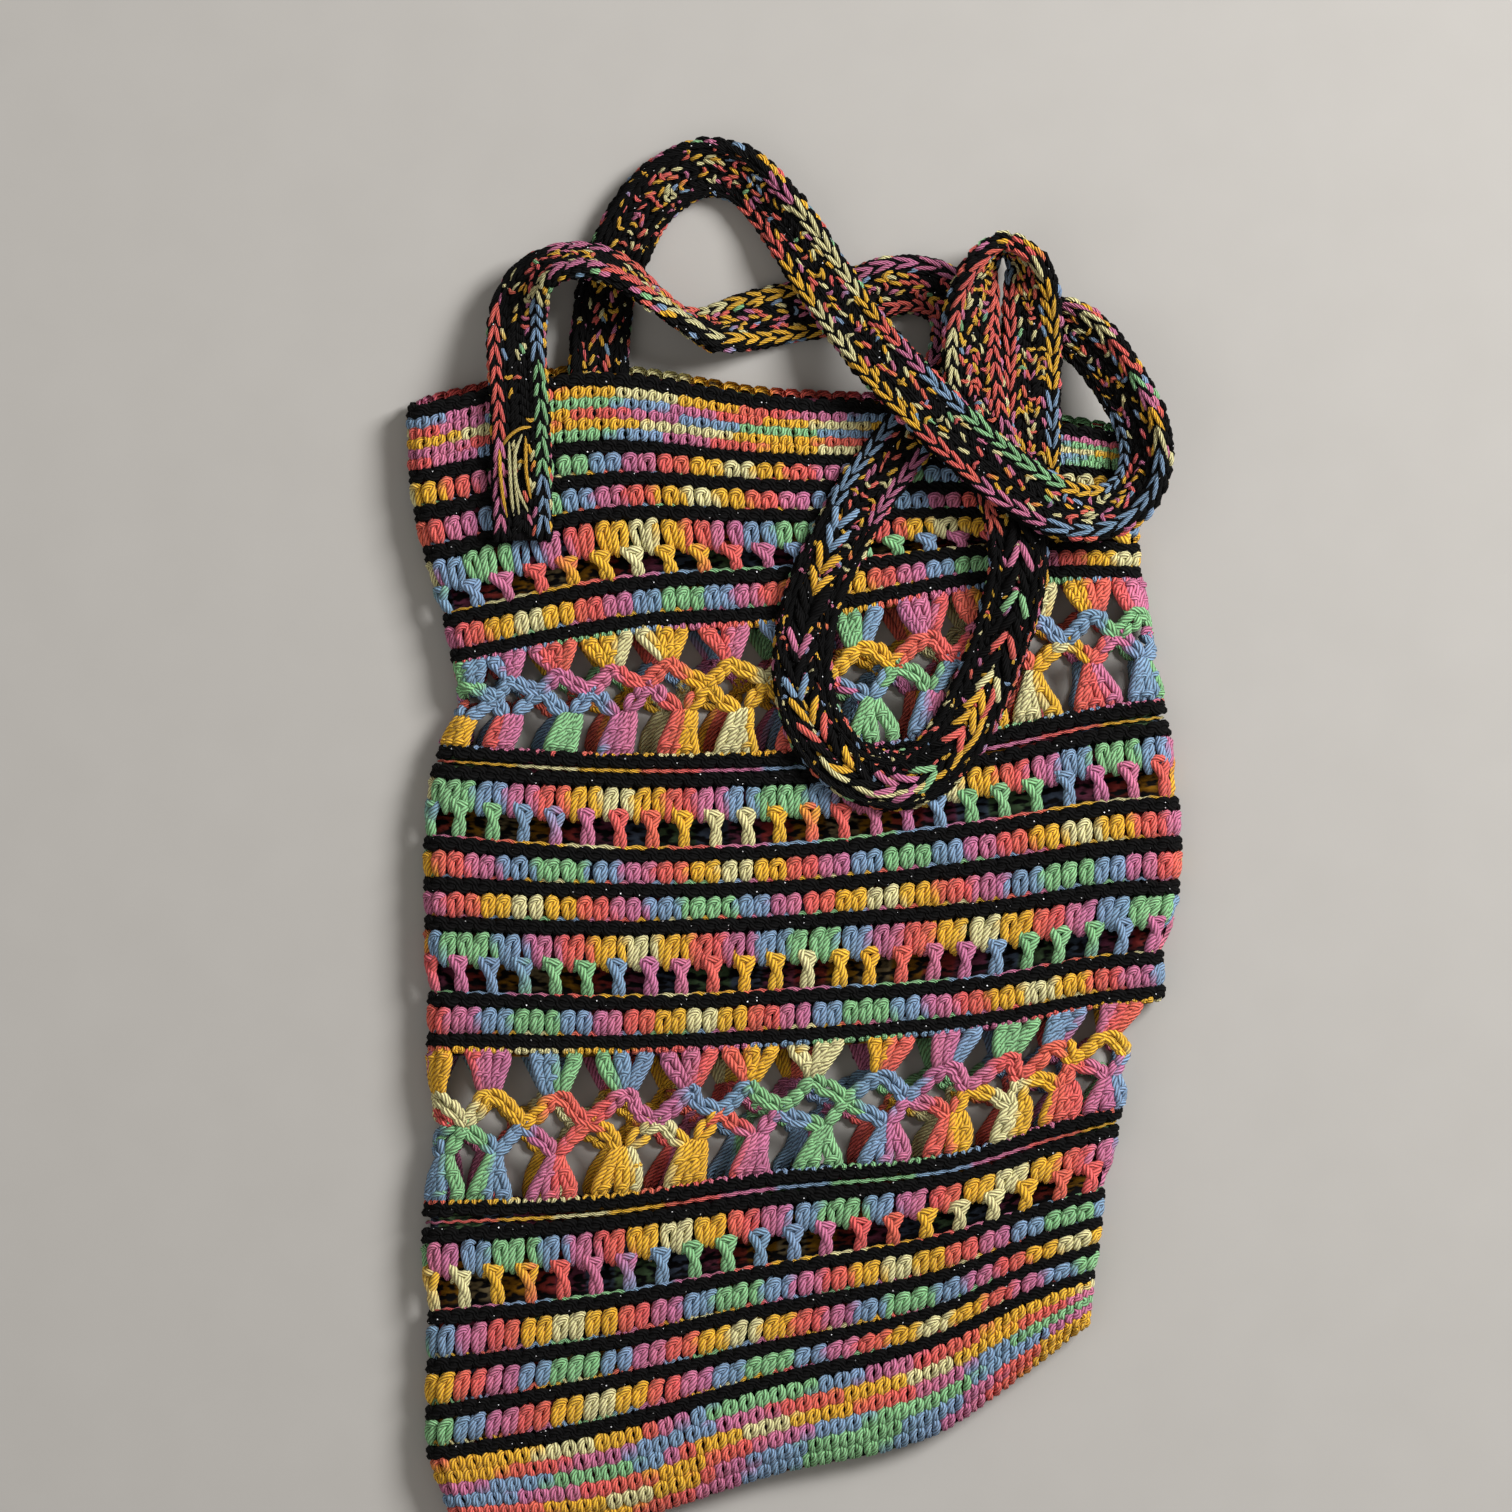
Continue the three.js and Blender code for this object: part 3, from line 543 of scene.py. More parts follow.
def strands(name, place, groups, sides, full=False):
    # each group is many strands of one kind: their points, radius in mm, dye, and 1 where black
    all_points, all_quads, all_uv, all_bake = [], [], [], []
    all_dye, all_finish = [], []
    base = 0
    for path, thick, dye, black in groups:
        m, k = path.shape[:2]
        at = place(path)
        lift = np.array([0, 0, 0.5])
        up = place(path + lift) - at
        up /= np.linalg.norm(up, axis=-1, keepdims=True) + 1e-12
        along = np.gradient(at, axis=1)
        along /= np.linalg.norm(along, axis=-1, keepdims=True) + 1e-12
        side = np.cross(along, up)
        side /= np.linalg.norm(side, axis=-1, keepdims=True) + 1e-12
        up = np.cross(side, along)
        run = np.concatenate(
            [np.zeros((m, 1)), np.cumsum(np.linalg.norm(np.diff(at, axis=1), axis=-1), 1)], 1
        )
        # a strand thins out where its ends dive into the cloth
        t = np.linspace(0, 1, k)
        taper = np.minimum(1, 0.35 + 3.2 * np.minimum(t, 1 - t)) ** 0.7
        radius = np.broadcast_to(np.asarray(thick, float), (m, k)) * taper
        # a strand that lies close on the cloth is left open underneath
        if full:
            angle = np.linspace(0, 2 * math.pi, sides, endpoint=False)
        else:
            angle = np.radians(np.linspace(-30, 210, sides))
        ring = np.cos(angle)[:, None] * side[:, :, None, :]
        ring = ring + np.sin(angle)[:, None] * up[:, :, None, :]
        points = at[:, :, None, :] + radius[:, :, None, None] * ring
        index = base + np.arange(m * k * sides).reshape(m, k, sides)
        count = sides if full else sides - 1
        near = index[:, :, :count]
        far = np.roll(index, -1, 2)[:, :, :count]
        quads = np.stack([near[:, :-1], near[:, 1:], far[:, 1:], far[:, :-1]], -1)
        turn = np.arange(count + 1) / (sides if full else 1.5 * (sides - 1))
        turns = np.broadcast_to(turn, (m, k, count + 1))
        runs = np.broadcast_to(run[:, :, None], (m, k, count + 1))
        dyes = np.broadcast_to(np.asarray(dye, float), (m, k))
        spread = dyes + np.linspace(-0.008, 0.008, k)
        half = np.abs(np.mod(spread + 0.5, 1) - 0.5) * 2
        bakes_u = np.broadcast_to((0.01 + 0.98 * half)[:, :, None], (m, k, count + 1))
        blacks = np.broadcast_to(np.asarray(black, float), (m, k))
        bakes_v = np.where(blacks[:, :, None] > 0.5, 0.55, 0.02) + 0.42 * turns

        def corners(a, b):
            four = [(a[:, :-1, :-1], b[:, :-1, :-1]), (a[:, 1:, :-1], b[:, 1:, :-1])]
            four += [(a[:, 1:, 1:], b[:, 1:, 1:]), (a[:, :-1, 1:], b[:, :-1, 1:])]
            return np.stack([np.stack(pair, -1) for pair in four], -2).reshape(-1, 2)

        all_points.append(points.reshape(-1, 3))
        all_quads.append(quads.reshape(-1, 4))
        all_uv.append(corners(runs, turns))
        all_bake.append(corners(bakes_u, bakes_v))
        all_dye.append(np.repeat(spread[:, :, None], sides, 2).ravel())
        all_finish.append(np.broadcast_to(blacks[:, :1, None] > 0.5, (m, k - 1, count)).ravel())
        base += m * k * sides
    piece = mesh_from(
        name,
        np.vstack(all_points),
        np.vstack(all_quads),
        [dyed_cotton, black_cotton],
        {"strand": np.vstack(all_uv), "OFBake": np.vstack(all_bake)},
        {"dye": np.concatenate(all_dye)},
        np.concatenate(all_finish),
    )
    return piece


def stitch_row(
    template, count, stitches, top, low, thick, dye_name, black=0.0, wobble=0.05, wide=1.0
):
    # one strand of every stitch of a round; the template's second value runs from top to low
    shape = curve(template, count) * [wide, 1, 1]
    m = len(stitches)
    path = np.broadcast_to(shape, (m, count, 3)).copy()
    path[..., 0] += stitches[:, None] + jitter.normal(0, wobble, (m, 1))
    path[..., 1] = top + (low - top) * (path[..., 1] + jitter.normal(0, wobble * 0.6, (m, 1)))
    path[..., 2] += jitter.normal(0, 0.12, (m, 1))
    radius = thick * (1 + jitter.normal(0, 0.04, (m, 1)))
    dye = dye_at(dye_name, stitches)[:, None] if dye_name else 0.0
    return path, radius, dye, black


# Black rounds
# Nineteen rounds of single crochet in black, which stand out as thick scalloped ropes: one
# round bump for each stitch above and, half a stitch further on, one below.
black_rows = [k for k, (name, *_) in enumerate(rounds) if name.startswith("black")]
# the middles of each panel's stitches, the sides of a strand and the points along it
faces = {
    "front": (np.arange(panel) + 0.5, 6, 7),
    "back": (np.arange(panel, 2 * panel) + 0.5, 5, 5),
}
# half a black round's height, and the usual height of each space from one line to the next, in mm
half_round = 2.788
spaces = [
    2.87, 26.24, 13.12, 13.12, 28.7, 14.76, 28.7, 28.7, 8.2, 30.75, 15.17,
    14.76, 30.34, 16.4, 33.21, 33.21, 8.61, 31.98, 16.81, 16.81, 16.4, 34.85,
]
bump_above = [
    (-0.56, 0.62, -1.6), (-0.35, 0.34, -0.3), (0.0, 0.22, 0.1), (0.35, 0.34, -0.3), (0.56, 0.62, -1.6),
]
bump_below = [(x + 0.5, 1 - y, z) for x, y, z in bump_above]
for face, (centres, sides, count) in faces.items():
    groups = []
    for k in black_rows:
        above = half_round / spaces[k - 1] if k > 1 else 1.1
        below = half_round / spaces[k]
        for template in (bump_above, bump_below):
            path, radius, dye, black = stitch_row(template, count, centres, -1, 1, 1.78, None, 1.0)
            e = path[..., 1]
            path[..., 1] = k + np.where(e < 0, e * above, e * below)
            groups.append((path, radius, dye, black))
    strands(f"black_rounds_{face}", cloth_place, groups, sides)

# Tall colour rounds
# Half and whole double crochets in the dyed yarn: two plump legs that narrow to the foot, and
# a slanting wrap over the head. Bits of the next length peep out along their feet.
leg_left = [(-0.12, 1.04, -1.8), (-0.20, 0.76, -0.3), (-0.27, 0.38, 0.1), (-0.14, 0.00, -1.1)]
leg_right = [(0.14, 1.04, -1.8), (0.18, 0.74, -0.3), (0.26, 0.42, 0.0), (0.20, 0.04, -1.2)]
wrap = [(-0.36, 0.50, -0.6), (-0.17, 0.24, 0.7), (0.12, 0.12, 0.7), (0.38, 0.16, -0.9)]
# each strand of a stitch: its shape, radius in mm and place in the dye
tall_strands = [(leg_left, 1.8, -0.008), (leg_right, 1.75, 0.008), (wrap, 1.5, 0.0)]
tall_rows = [
    # round above, top and low as shares of the way to the next black round, in pairs or not, lean
    ("black02", 0.19, 0.81, False, 0.0), ("black03", 0.19, 0.81, False, 0.0),
    ("black04", 0.09, 0.55, True, 0.06), ("black05", 0.19, 0.81, False, 0.08),
    ("black08", 0.09, 0.52, True, 0.0), ("black09", 0.18, 0.81, False, 0.0),
    ("black10", 0.18, 0.81, False, 0.0), ("black11", 0.09, 0.52, True, 0.06),
    ("black12", 0.17, 0.82, False, 0.08), ("black15", 0.08, 0.50, True, 0.08),
    ("black16", 0.16, 0.82, False, 0.10), ("black17", 0.16, 0.80, False, 0.30),
    ("black18", 0.16, 0.80, False, 0.34),
]
# how many stitches show on a panel where they are wider, near the rim and the bottom
fewer = dict.fromkeys(("black02", "black03", "black04"), 44)
fewer |= dict.fromkeys(("black15", "black16", "black17", "black18"), 42)


def places_of(face, round_name):
    # the middles of a face's stitches in a round, and their width as a share of the usual one
    count = fewer.get(round_name, 42 if round_name.startswith("bottom") else panel)
    wide = panel / count
    return (np.arange(count) + 0.5) * wide + (panel if face == "back" else 0), wide


def running_line(centres, per_stitch):
    # the places of a strand that runs along the whole of a panel
    return np.linspace(centres[0] - 0.5, centres[-1] + 0.5, per_stitch * panel + 1)


for face, (centres, sides, count) in faces.items():
    groups = []
    for name, top, low, paired, lean in tall_rows:
        k = row_at[name]
        middles, wide = places_of(face, name)
        for template, thick, phase in tall_strands:
            at = middles + 0.5 * wide if paired else middles
            path, radius, dye, black = stitch_row(
                template, count, at, k + top, k + low, thick, name, wobble=0.05, wide=wide
            )
            down = np.clip((path[..., 1] - k - top) / (low - top), 0, 1)
            slant = lean * (1 - 0.7 * np.mod(at, panel) / panel)
            path[..., 0] += slant[:, None] * (0.5 - down)
            if paired:
                # the feet of each pair close up and leave room for the posts' heads
                first = (np.arange(len(at)) % 2 == 0)[:, None]
                path[..., 0] += np.where(first, 1, -1) * (0.20 * down - 0.02)
                path[..., 1] += np.where(first, -0.02, 0.03) * down
            groups.append((path, radius, dye + phase, black))
        if face == "front" and not paired:
            # the bits of the next length along the feet
            line = running_line(centres, 4)
            between = np.cos(line * 2 * math.pi + 1.2 * lean)
            down = k + low - 0.01 - (0.05 + 0.16 * lean) * between
            path = np.stack([line, down, -0.8 + 0.3 * between], -1)[None]
            groups.append((path, 0.9 + 0.4 * lean, dye_at(name, line * 1.25 + 9)[None], 0.0))
    strands(f"tall_rounds_{face}", cloth_place, groups, sides)

# Filet rounds
# One post for every second stitch. Its head leans over to the left between two pairs of the
# round above, and a bare strand runs along the foot of the gaps.
post_left = [
    (-0.60, -0.16, -2.6), (-0.55, 0.06, 0.0), (-0.16, 0.36, 0.6), (0.20, 0.70, 0.2), (0.24, 1.06, -1.4),
]
post_right = [
    (0.44, -0.06, -2.4), (0.30, 0.20, 0.0), (0.04, 0.48, 0.0), (-0.10, 0.76, 0.0), (-0.12, 1.06, -1.4),
]
post_head = [(-0.70, 0.30, -1.6), (-0.34, 0.10, 0.8), (0.10, 0.10, 1.0), (0.42, 0.10, -1.4)]
for face, (centres, sides, count) in faces.items():
    groups = []
    for name, (top, low) in filet_rows.items():
        k = row_at[name]
        middles, wide = places_of(face, name)
        posts = middles[::2] + 0.12
        band = "filet" + name[5:]
        head, sole = k + top - 0.08, k + low + 0.02
        for template, thick in ((post_left, 2.0), (post_right, 1.9), (post_head, 1.6)):
            groups.append(stitch_row(template, count + 1, posts, head, sole, thick, band, wide=wide))
        foot = running_line(centres, 4)
        down = k + low + 0.01 + 0.012 * np.sin(foot * 2 * math.pi)
        path = np.stack([foot, down, -0.5 + 0.3 * np.sin(foot * math.pi)], -1)[None]
        groups.append((path, 1.0, dye_at(band, foot + 9)[None], 0.0))
    strands(f"filet_rounds_{face}", cloth_place, groups, sides)

# Tight colour rounds
# Single crochets in the dyed yarn, each a round bead with a slit: five rounds under the rim, six
# down to the bottom and one at each edge of the lace. A thin line parts the pairs of black rounds.
bead = [(-0.03, -0.24, -1.4), (-0.26, 0.14, 0.1), (-0.28, 0.58, 0.25), (-0.08, 1.16, -1.2)]
# each round: its name, its top and low as counted down the bag, and its strands' radius in mm
rim_step, bottom_step = 0.157, 0.152
tight_rows = [(f"rim{n + 1}", 1.12 + n * rim_step, 1.12 + (n + 1) * rim_step, 1.62) for n in range(5)]
tight_rows += [
    (f"bottom{n + 1}", 21.10 + n * bottom_step, 21.10 + (n + 1) * bottom_step, 1.72) for n in range(6)
]
tight_rows += [("lace06top", 6.09, 6.15, 1.3), ("lace13top", 14.08, 14.13, 1.3)]
tight_rows += [("lace06ring", 7.91, 7.96, 1.2), ("lace13ring", 15.91, 15.96, 1.2)]
for face, (centres, sides, count) in faces.items():
    groups = []
    for n, (name, top, low, thick) in enumerate(tight_rows):
        middles, wide = places_of(face, name)
        for hand in (1, -1):
            template = [(hand * a + 0.5 * (n % 2), b, c) for a, b, c in bead]
            groups.append(
                stitch_row(template, count - 1, middles, top, low, thick, name, wide=wide, wobble=0.04)
            )
    for name in ("black07", "black14"):
        k = row_at[name]
        line = running_line(centres, 6)
        wave = np.sin(line * 2 * math.pi)
        path = np.stack([line, k + 0.5 + 0.03 * wave, -0.7 + 0.35 * wave], -1)[None]
        groups.append((path, 0.95, dye_at(name, line)[None], 0.0))
    if face == "back":
        # the upper edge of the back panel, seen from inside over the front rim
        template = [(-0.5, 1.9, -4.2), (-0.34, 0.2, -3.4), (0.34, 0.2, -3.4), (0.5, 1.9, -4.2)]
        groups.append(stitch_row(template, 6, centres, 0.0, 0.4, 1.5, "backrim"))
    strands(f"tight_rounds_{face}", cloth_place, groups, sides - 1)

# Lace bands
# Fans of three plump stitches hang from the band's upper edge, a chain arches from one to the
# next under them, and more fans stand on the lower edge with an arm up to each dip of the chain.
lace_fans = {
    # band: middles of the hanging fans and of the standing fans, in stitches from the left edge
    "black06": (
        [1.5, 4.0, 7.3, 11.0, 14.8, 19.1, 23.2, 28.0, 32.4, 36.1, 39.8, 43.7, 46.9],
        [1.1, 4.2, 8.2, 11.8, 15.8, 19.7, 23.6, 28.5, 32.6, 35.9, 39.2, 43.2, 46.6],
    ),
    "black13": (
        [0.7, 4.3, 8.6, 13.0, 17.3, 21.2, 25.6, 30.2, 34.3, 38.3, 41.5, 45.0],
        [1.5, 4.7, 8.9, 13.5, 18.0, 22.3, 26.8, 31.4, 35.7, 39.9, 43.1, 46.3],
    ),
}
lace_shape = {
    # band: foot of the hanging fan, chain under it, its dip, top of the lower arms, and the
    # standing fan's top and foot, all as shares of the way down the band
    "black06": (0.30, 0.315, 0.45, 0.48, 0.63, 0.95),
    "black13": (0.31, 0.33, 0.49, 0.52, 0.66, 0.955),
}
# a stitch across and a band down, in mm, and the length of a chain's link
cell_mm = np.array([5.9, 64.0])
chain_link = 5.6


def chain_links(controls, link, steps):
    # the two arms of every V of a chain along a line, whose points are stitch, share of the band
    # and mm over the cloth
    line = curve(controls, 50)
    ahead, behind = line[-1] - line[-4], line[0] - line[3]
    before = [line[0] + 3 * behind, line[0] + behind]
    line = np.vstack([*before, line, line[-1] + ahead, line[-1] + 4 * ahead])
    flat = line[:, :2] * cell_mm
    run = np.concatenate([[0], np.cumsum(np.linalg.norm(np.diff(flat, axis=0), axis=1))])
    run -= run[2]
    ways = np.gradient(flat, axis=0)
    ways /= np.linalg.norm(ways, axis=1, keepdims=True)
    count = max(2, round(run[-3] / link))
    starts = np.arange(count) * run[-3] / count
    arms = []
    for hand in (1, -1):
        half_v = [
            (-1.4, hand * 1.4, -0.6), (0.6, hand * 2.0, 0.6),
            (3.0, hand * 1.35, 1.1), (6.0, hand * 0.2, -0.2),
        ]
        shape = curve(half_v, steps)
        at = starts[:, None] + shape[None, :, 0] * link / 5
        place = np.stack([np.interp(at, run, line[:, n]) for n in range(3)], -1)
        way = np.stack([np.interp(at, run, ways[:, n]) for n in range(2)], -1)
        off = np.stack([-way[..., 1], way[..., 0]], -1) * shape[None, :, 1:2] / cell_mm
        place[..., :2] += off
        place[..., 2] += shape[None, :, 2]
        arms.append(place)
    return np.concatenate(arms)


def fan_stitches(middle, wide, narrow, broad_end, narrow_end, steps):
    # three stitches that close up towards one end, each of two legs and two wraps
    legs, wraps = [], []
    drop = narrow_end - broad_end
    for lean in (-1, 0, 1):
        broad, close = middle + lean * wide, middle + lean * narrow
        for side in (-0.21, 0.21):
            leg = [
                (broad + 0.8 * side, broad_end - 0.03 * np.sign(drop), -1.6),
                (broad + side, broad_end + 0.16 * drop, 0.0),
                (0.5 * (broad + close) + side * 0.9, broad_end + 0.5 * drop, 0.3),
                (close + 0.45 * side, narrow_end - 0.12 * drop, 0.2),
                (close + 0.2 * side, narrow_end, -1.1),
            ]
            legs.append(curve(leg, steps))
        for down in (0.16, 0.58):
            x = broad + (close - broad) * down
            y = broad_end + drop * down
            half = 0.36 - 0.1 * down
            round_both = [
                (x - half, y + 0.03, -0.6), (x - 0.4 * half, y + 0.004, 1.1),
                (x + 0.4 * half, y - 0.006, 1.1), (x + half, y - 0.004, -0.8),
            ]
            wraps.append(curve(round_both, steps - 2))
    return np.array(legs), np.array(wraps)


for face, (centres, sides, count) in faces.items():
    groups = []
    around = 6 if face == "front" else 5
    for name, (hanging, standing) in lace_fans.items():
        k = row_at[name]
        band = name[5:]
        fan_low, crown, dip, arm_top, fan_top, foot = lace_shape[name]
        hang, stand = np.array(hanging), np.array(standing)
        if face == "back":
            # the back panel's fans stand a little aside, so they show through the front's gaps
            hang, stand = stitches_round - hang[::-1], stitches_round - stand[::-1]
            hang = hang - 1.3 * np.sin(math.pi * hang / panel)
            stand = stand - 1.3 * np.sin(math.pi * stand / panel)
        middle_dips = (hang[1:] + hang[:-1]) / 2
        dips = np.concatenate([[hang[0] - 1.9], middle_dips, [hang[-1] + 1.9]])
        parts = []
        for n, (h, s) in enumerate(zip(hang, stand)):
            left, right = dips[n], dips[n + 1]
            room = right - left
            legs, wraps = fan_stitches(h, 0.29 * room, 0.44, 0.055, fan_low, count)
            parts += [(legs, 2.1, "tri"), (wraps, 1.6, "tri")]
            legs, wraps = fan_stitches(s, 0.25 * room, 0.40, foot, fan_top, count)
            parts += [(legs, 2.0, "base"), (wraps, 1.55, "base")]
            arch = [
                (left, dip + 0.01, -1.0), (left + 0.28 * room, dip - 0.08, -0.6),
                (h - 0.3, crown + 0.005, -0.3), (h + 0.3, crown + 0.005, -0.3),
                (right - 0.28 * room, dip - 0.08, -0.6), (right, dip + 0.01, -1.0),
            ]
            parts.append((chain_links(arch, chain_link, count - 1), 1.85, "arch"))
            for near in (left, right):
                arm = [
                    (near, arm_top - 0.02, -1.2), (0.6 * near + 0.4 * s, arm_top + 0.055, -0.8),
                    (s + 0.12 * (near - s), fan_top + 0.01, -0.3),
                ]
                arm_dye = "arm" if band == "06" else "base"
                parts.append((chain_links(arm, chain_link, count - 1), 1.8, arm_dye))
        # no two are alike: each is moved a little, and the whole band waves
        for path, thick, kind in parts:
            path[..., 0] += jitter.normal(0, 0.05, (len(path), 1))
            path[..., 0] += 0.22 * np.sin(1.7 * path[..., 0] + 9 * path[..., 1] + k)
            path[..., 1] += 0.012 * np.sin(0.8 * path[..., 0] + k)
            path[..., 1] += jitter.normal(0, 0.003, (len(path), 1))
            path[..., 2] += jitter.normal(0, 0.15, (len(path), 1))
            path[..., 1] = k + 2 * path[..., 1]
            middle = path[:, path.shape[1] // 2, 0][:, None]
            dye = dye_at(f"lace{band}{kind}", middle + jitter.normal(0, 0.12, (len(path), 1)))
            dye = dye + (0.21 if face == "back" else 0)
            groups.append((path, thick, dye, 0.0))
    strands(f"lace_bands_{face}", cloth_place, groups, around, full=True)

# Handles
# Two thick bands of black and dyed yarn worked together: chains of long V stitches run along
# both edges of the face and short crossed stitches fill it between.
half_wide, half_thick = 11.2, 2.6
# the stations of each handle's line: x, y and z in mm, and the band's roll there in degrees
front_handle = [
    (-109.5, 149.2, 18.6, 0), (-109.5, 161.9, 18.6, 0), (-109.9, 178.3, 18.6, 0),
    (-110.3, 194.8, 18.6, 0), (-110.7, 207.9, 18.9, 0), (-111.5, 220.2, 18.6, -2),
    (-111.9, 232.5, 15.6, -8), (-110.3, 244.8, 15.4, -22), (-105.0, 255.4, 17.5, -42),
    (-95.1, 262.0, 20.2, -58), (-81.2, 262.8, 20.8, -62), (-68.1, 257.5, 20.4, -68),
    (-55.8, 248.0, 17.6, -78), (-43.5, 239.0, 14.6, -78), (-32.0, 235.8, 10.4, -48),
    (-19.7, 239.0, 5.6, -16), (-6.1, 242.3, 3.6, 0), (12.3, 245.6, 3.5, 0), (28.7, 250.5, 3.5, 0),
    (43.5, 254.6, 3.5, 0), (57.4, 253.8, 3.6, 0), (67.6, 246.4, 5.0, 0), (70.5, 234.1, 8.6, 0),
    (67.2, 221.0, 14.4, 0), (60.3, 207.9, 19.0, 0), (50.8, 194.8, 18.8, 0), (39.8, 180.8, 18.6, 0),
    (29.1, 166.0, 18.6, 0), (19.7, 148.4, 18.6, 0), (10.7, 129.2, 18.6, 0), (5.7, 108.6, 18.6, 0),
    (5.7, 88.1, 18.6, 0), (11.9, 70.1, 18.6, 0), (24.6, 56.6, 18.6, 0), (41.0, 50.8, 18.6, 0),
    (56.6, 56.2, 18.6, 0), (68.9, 69.7, 18.6, 0), (78.3, 88.1, 18.6, 0), (85.3, 106.6, 19.2, 0),
    (90.2, 123.0, 22.4, 0), (93.1, 138.2, 25.4, 0), (92.2, 153.8, 25.7, 0), (87.7, 169.3, 25.7, 0),
    (82.0, 184.5, 25.7, 0), (77.5, 199.7, 25.7, 0), (75.0, 215.2, 24.6, 4), (73.8, 231.6, 21.5, 14),
    (74.6, 247.2, 21.0, 36), (77.9, 261.2, 21.4, 66), (87.3, 271.0, 19.6, 88), (96.3, 264.4, 19.0, 66),
    (98.8, 252.1, 18.4, 32), (99.2, 239.0, 16.4, 8), (98.8, 224.3, 15.8, 0), (98.4, 208.7, 18.4, 0),
    (98.4, 194.8, 18.6, 0), (98.4, 178.3, 18.6, 0), (98.4, 161.9, 18.6, 0), (98.4, 149.2, 18.6, 0),
]
back_handle = [
    (-81.2, 173.4, 6.8, 0), (-80.8, 190.6, 6.8, 0), (-79.5, 207.0, 6.8, 0), (-78.7, 221.8, 6.8, 0),
    (-77.9, 234.9, 4.6, 0), (-76.3, 248.0, 3.5, 0), (-73.4, 259.5, 3.6, 0), (-68.1, 272.6, 4.4, 4),
    (-60.3, 286.6, 5.2, 8), (-48.4, 297.7, 6.2, 12), (-33.6, 303.0, 7.0, 18), (-18.9, 299.3, 9.0, 28),
    (-7.0, 287.4, 10.4, 30), (2.5, 274.3, 12.0, 18), (10.7, 261.2, 12.6, 8), (19.7, 247.2, 13.0, 2),
    (29.5, 233.3, 19.6, 0), (41.0, 219.3, 26.6, 0), (53.3, 205.8, 32.1, 0), (66.4, 193.1, 32.8, 0),
    (80.8, 180.4, 32.8, 0), (95.9, 169.3, 32.9, 0), (109.9, 161.9, 32.4, -10), (123.0, 159.9, 29.6, -24),
    (134.9, 163.2, 27.8, -34), (143.1, 172.6, 27.0, -38), (145.5, 185.7, 26.6, -38),
    (142.7, 198.8, 25.0, -38), (136.1, 212.0, 21.8, -36), (128.3, 224.3, 17.0, -32),
    (118.9, 234.1, 11.2, -20), (108.6, 237.8, 5.6, -6), (99.6, 232.9, 3.5, 0), (93.9, 222.6, 4.0, 0),
    (91.4, 209.1, 6.4, 0), (91.0, 194.8, 6.8, 0), (91.0, 173.4, 6.8, 0),
]


def band_frame(stations):
    # the line of a handle through its stations, with its across and face directions each mm
    p = np.array([s[:3] for s in stations])
    rolls = np.array([s[3] for s in stations], float)
    ends = np.vstack([2 * p[0] - p[1], p, 2 * p[-1] - p[-2]])
    out, out_roll = [], []
    knots = np.arange(len(stations), dtype=float)
    for k in range(len(p) - 1):
        a, b, c, d = ends[k : k + 4]
        d0, d1, d2 = (np.linalg.norm(w) ** 0.5 for w in (b - a, c - b, d - c))
        m1 = ((b - a) / d0 - (c - a) / (d0 + d1) + (c - b) / d1) * d1
        m2 = ((c - b) / d1 - (d - b) / (d1 + d2) + (d - c) / d2) * d1
        t = np.linspace(0, 1, 24, endpoint=False)[:, None]
        out.append(
            (2 * t**3 - 3 * t**2 + 1) * b + (t**3 - 2 * t**2 + t) * m1
            + (3 * t**2 - 2 * t**3) * c + (t**3 - t**2) * m2
        )
        out_roll.append(k + t[:, 0])
    line = np.vstack([*out, p[-1:]])
    when = np.concatenate([*out_roll, [len(p) - 1]])
    roll = np.radians(smooth(knots, np.broadcast_to(rolls, (len(when), len(rolls))), when))
    run = np.concatenate([[0], np.cumsum(np.linalg.norm(np.diff(line, axis=0), axis=1))])
    along = np.gradient(line, axis=0)
    along /= np.linalg.norm(along, axis=1, keepdims=True)
    side = np.stack([-along[:, 1], along[:, 0], np.zeros(len(along))], -1)
    side /= np.linalg.norm(side, axis=1, keepdims=True)
    up = np.cross(along, side)
    wide = side * np.cos(roll)[:, None] + up * np.sin(roll)[:, None]
    face = up * np.cos(roll)[:, None] - side * np.sin(roll)[:, None]
    return run, line, wide, face


def band_place(frame_of_band):
    run, line, wide, face = frame_of_band

    def place(path):
        # path holds mm along the band, mm across it and mm over its middle plane
        shape = path.shape[:-1]
        along, across_mm, over_mm = (path[..., k].ravel() for k in range(3))
        at = [np.interp(along, run, line[:, k]) for k in range(3)]
        w = np.stack([np.interp(along, run, wide[:, k]) for k in range(3)], -1)
        n = np.stack([np.interp(along, run, face[:, k]) for k in range(3)], -1)
        return (np.stack(at, -1) + w * across_mm[:, None] + n * over_mm[:, None]).reshape(*shape, 3)

    return place


# where each length of dye starts along a chain, in mm from the handle's first end; None is black
cream, gold, coral, plum, blue, green = 0.0, 0.095, 0.19, 0.285, 0.38, 0.47
front_chains = {
    1: [
        (0, plum), (36, coral), (90, None), (112, plum), (140, coral), (181, cream), (200, gold),
        (246, plum), (300, blue), (360, plum), (398, None), (655, coral), (690, gold), (705, cream),
        (740, coral), (790, cream), (800, gold), (846, blue), (866, gold),
    ],
    -1: [
        (0, blue), (22, green), (70, blue), (98, cream), (116, plum), (138, coral), (160, cream),
        (188, gold), (250, coral), (300, plum), (350, blue), (398, None), (655, plum), (700, coral),
        (770, blue), (798, coral), (856, plum),
    ],
}
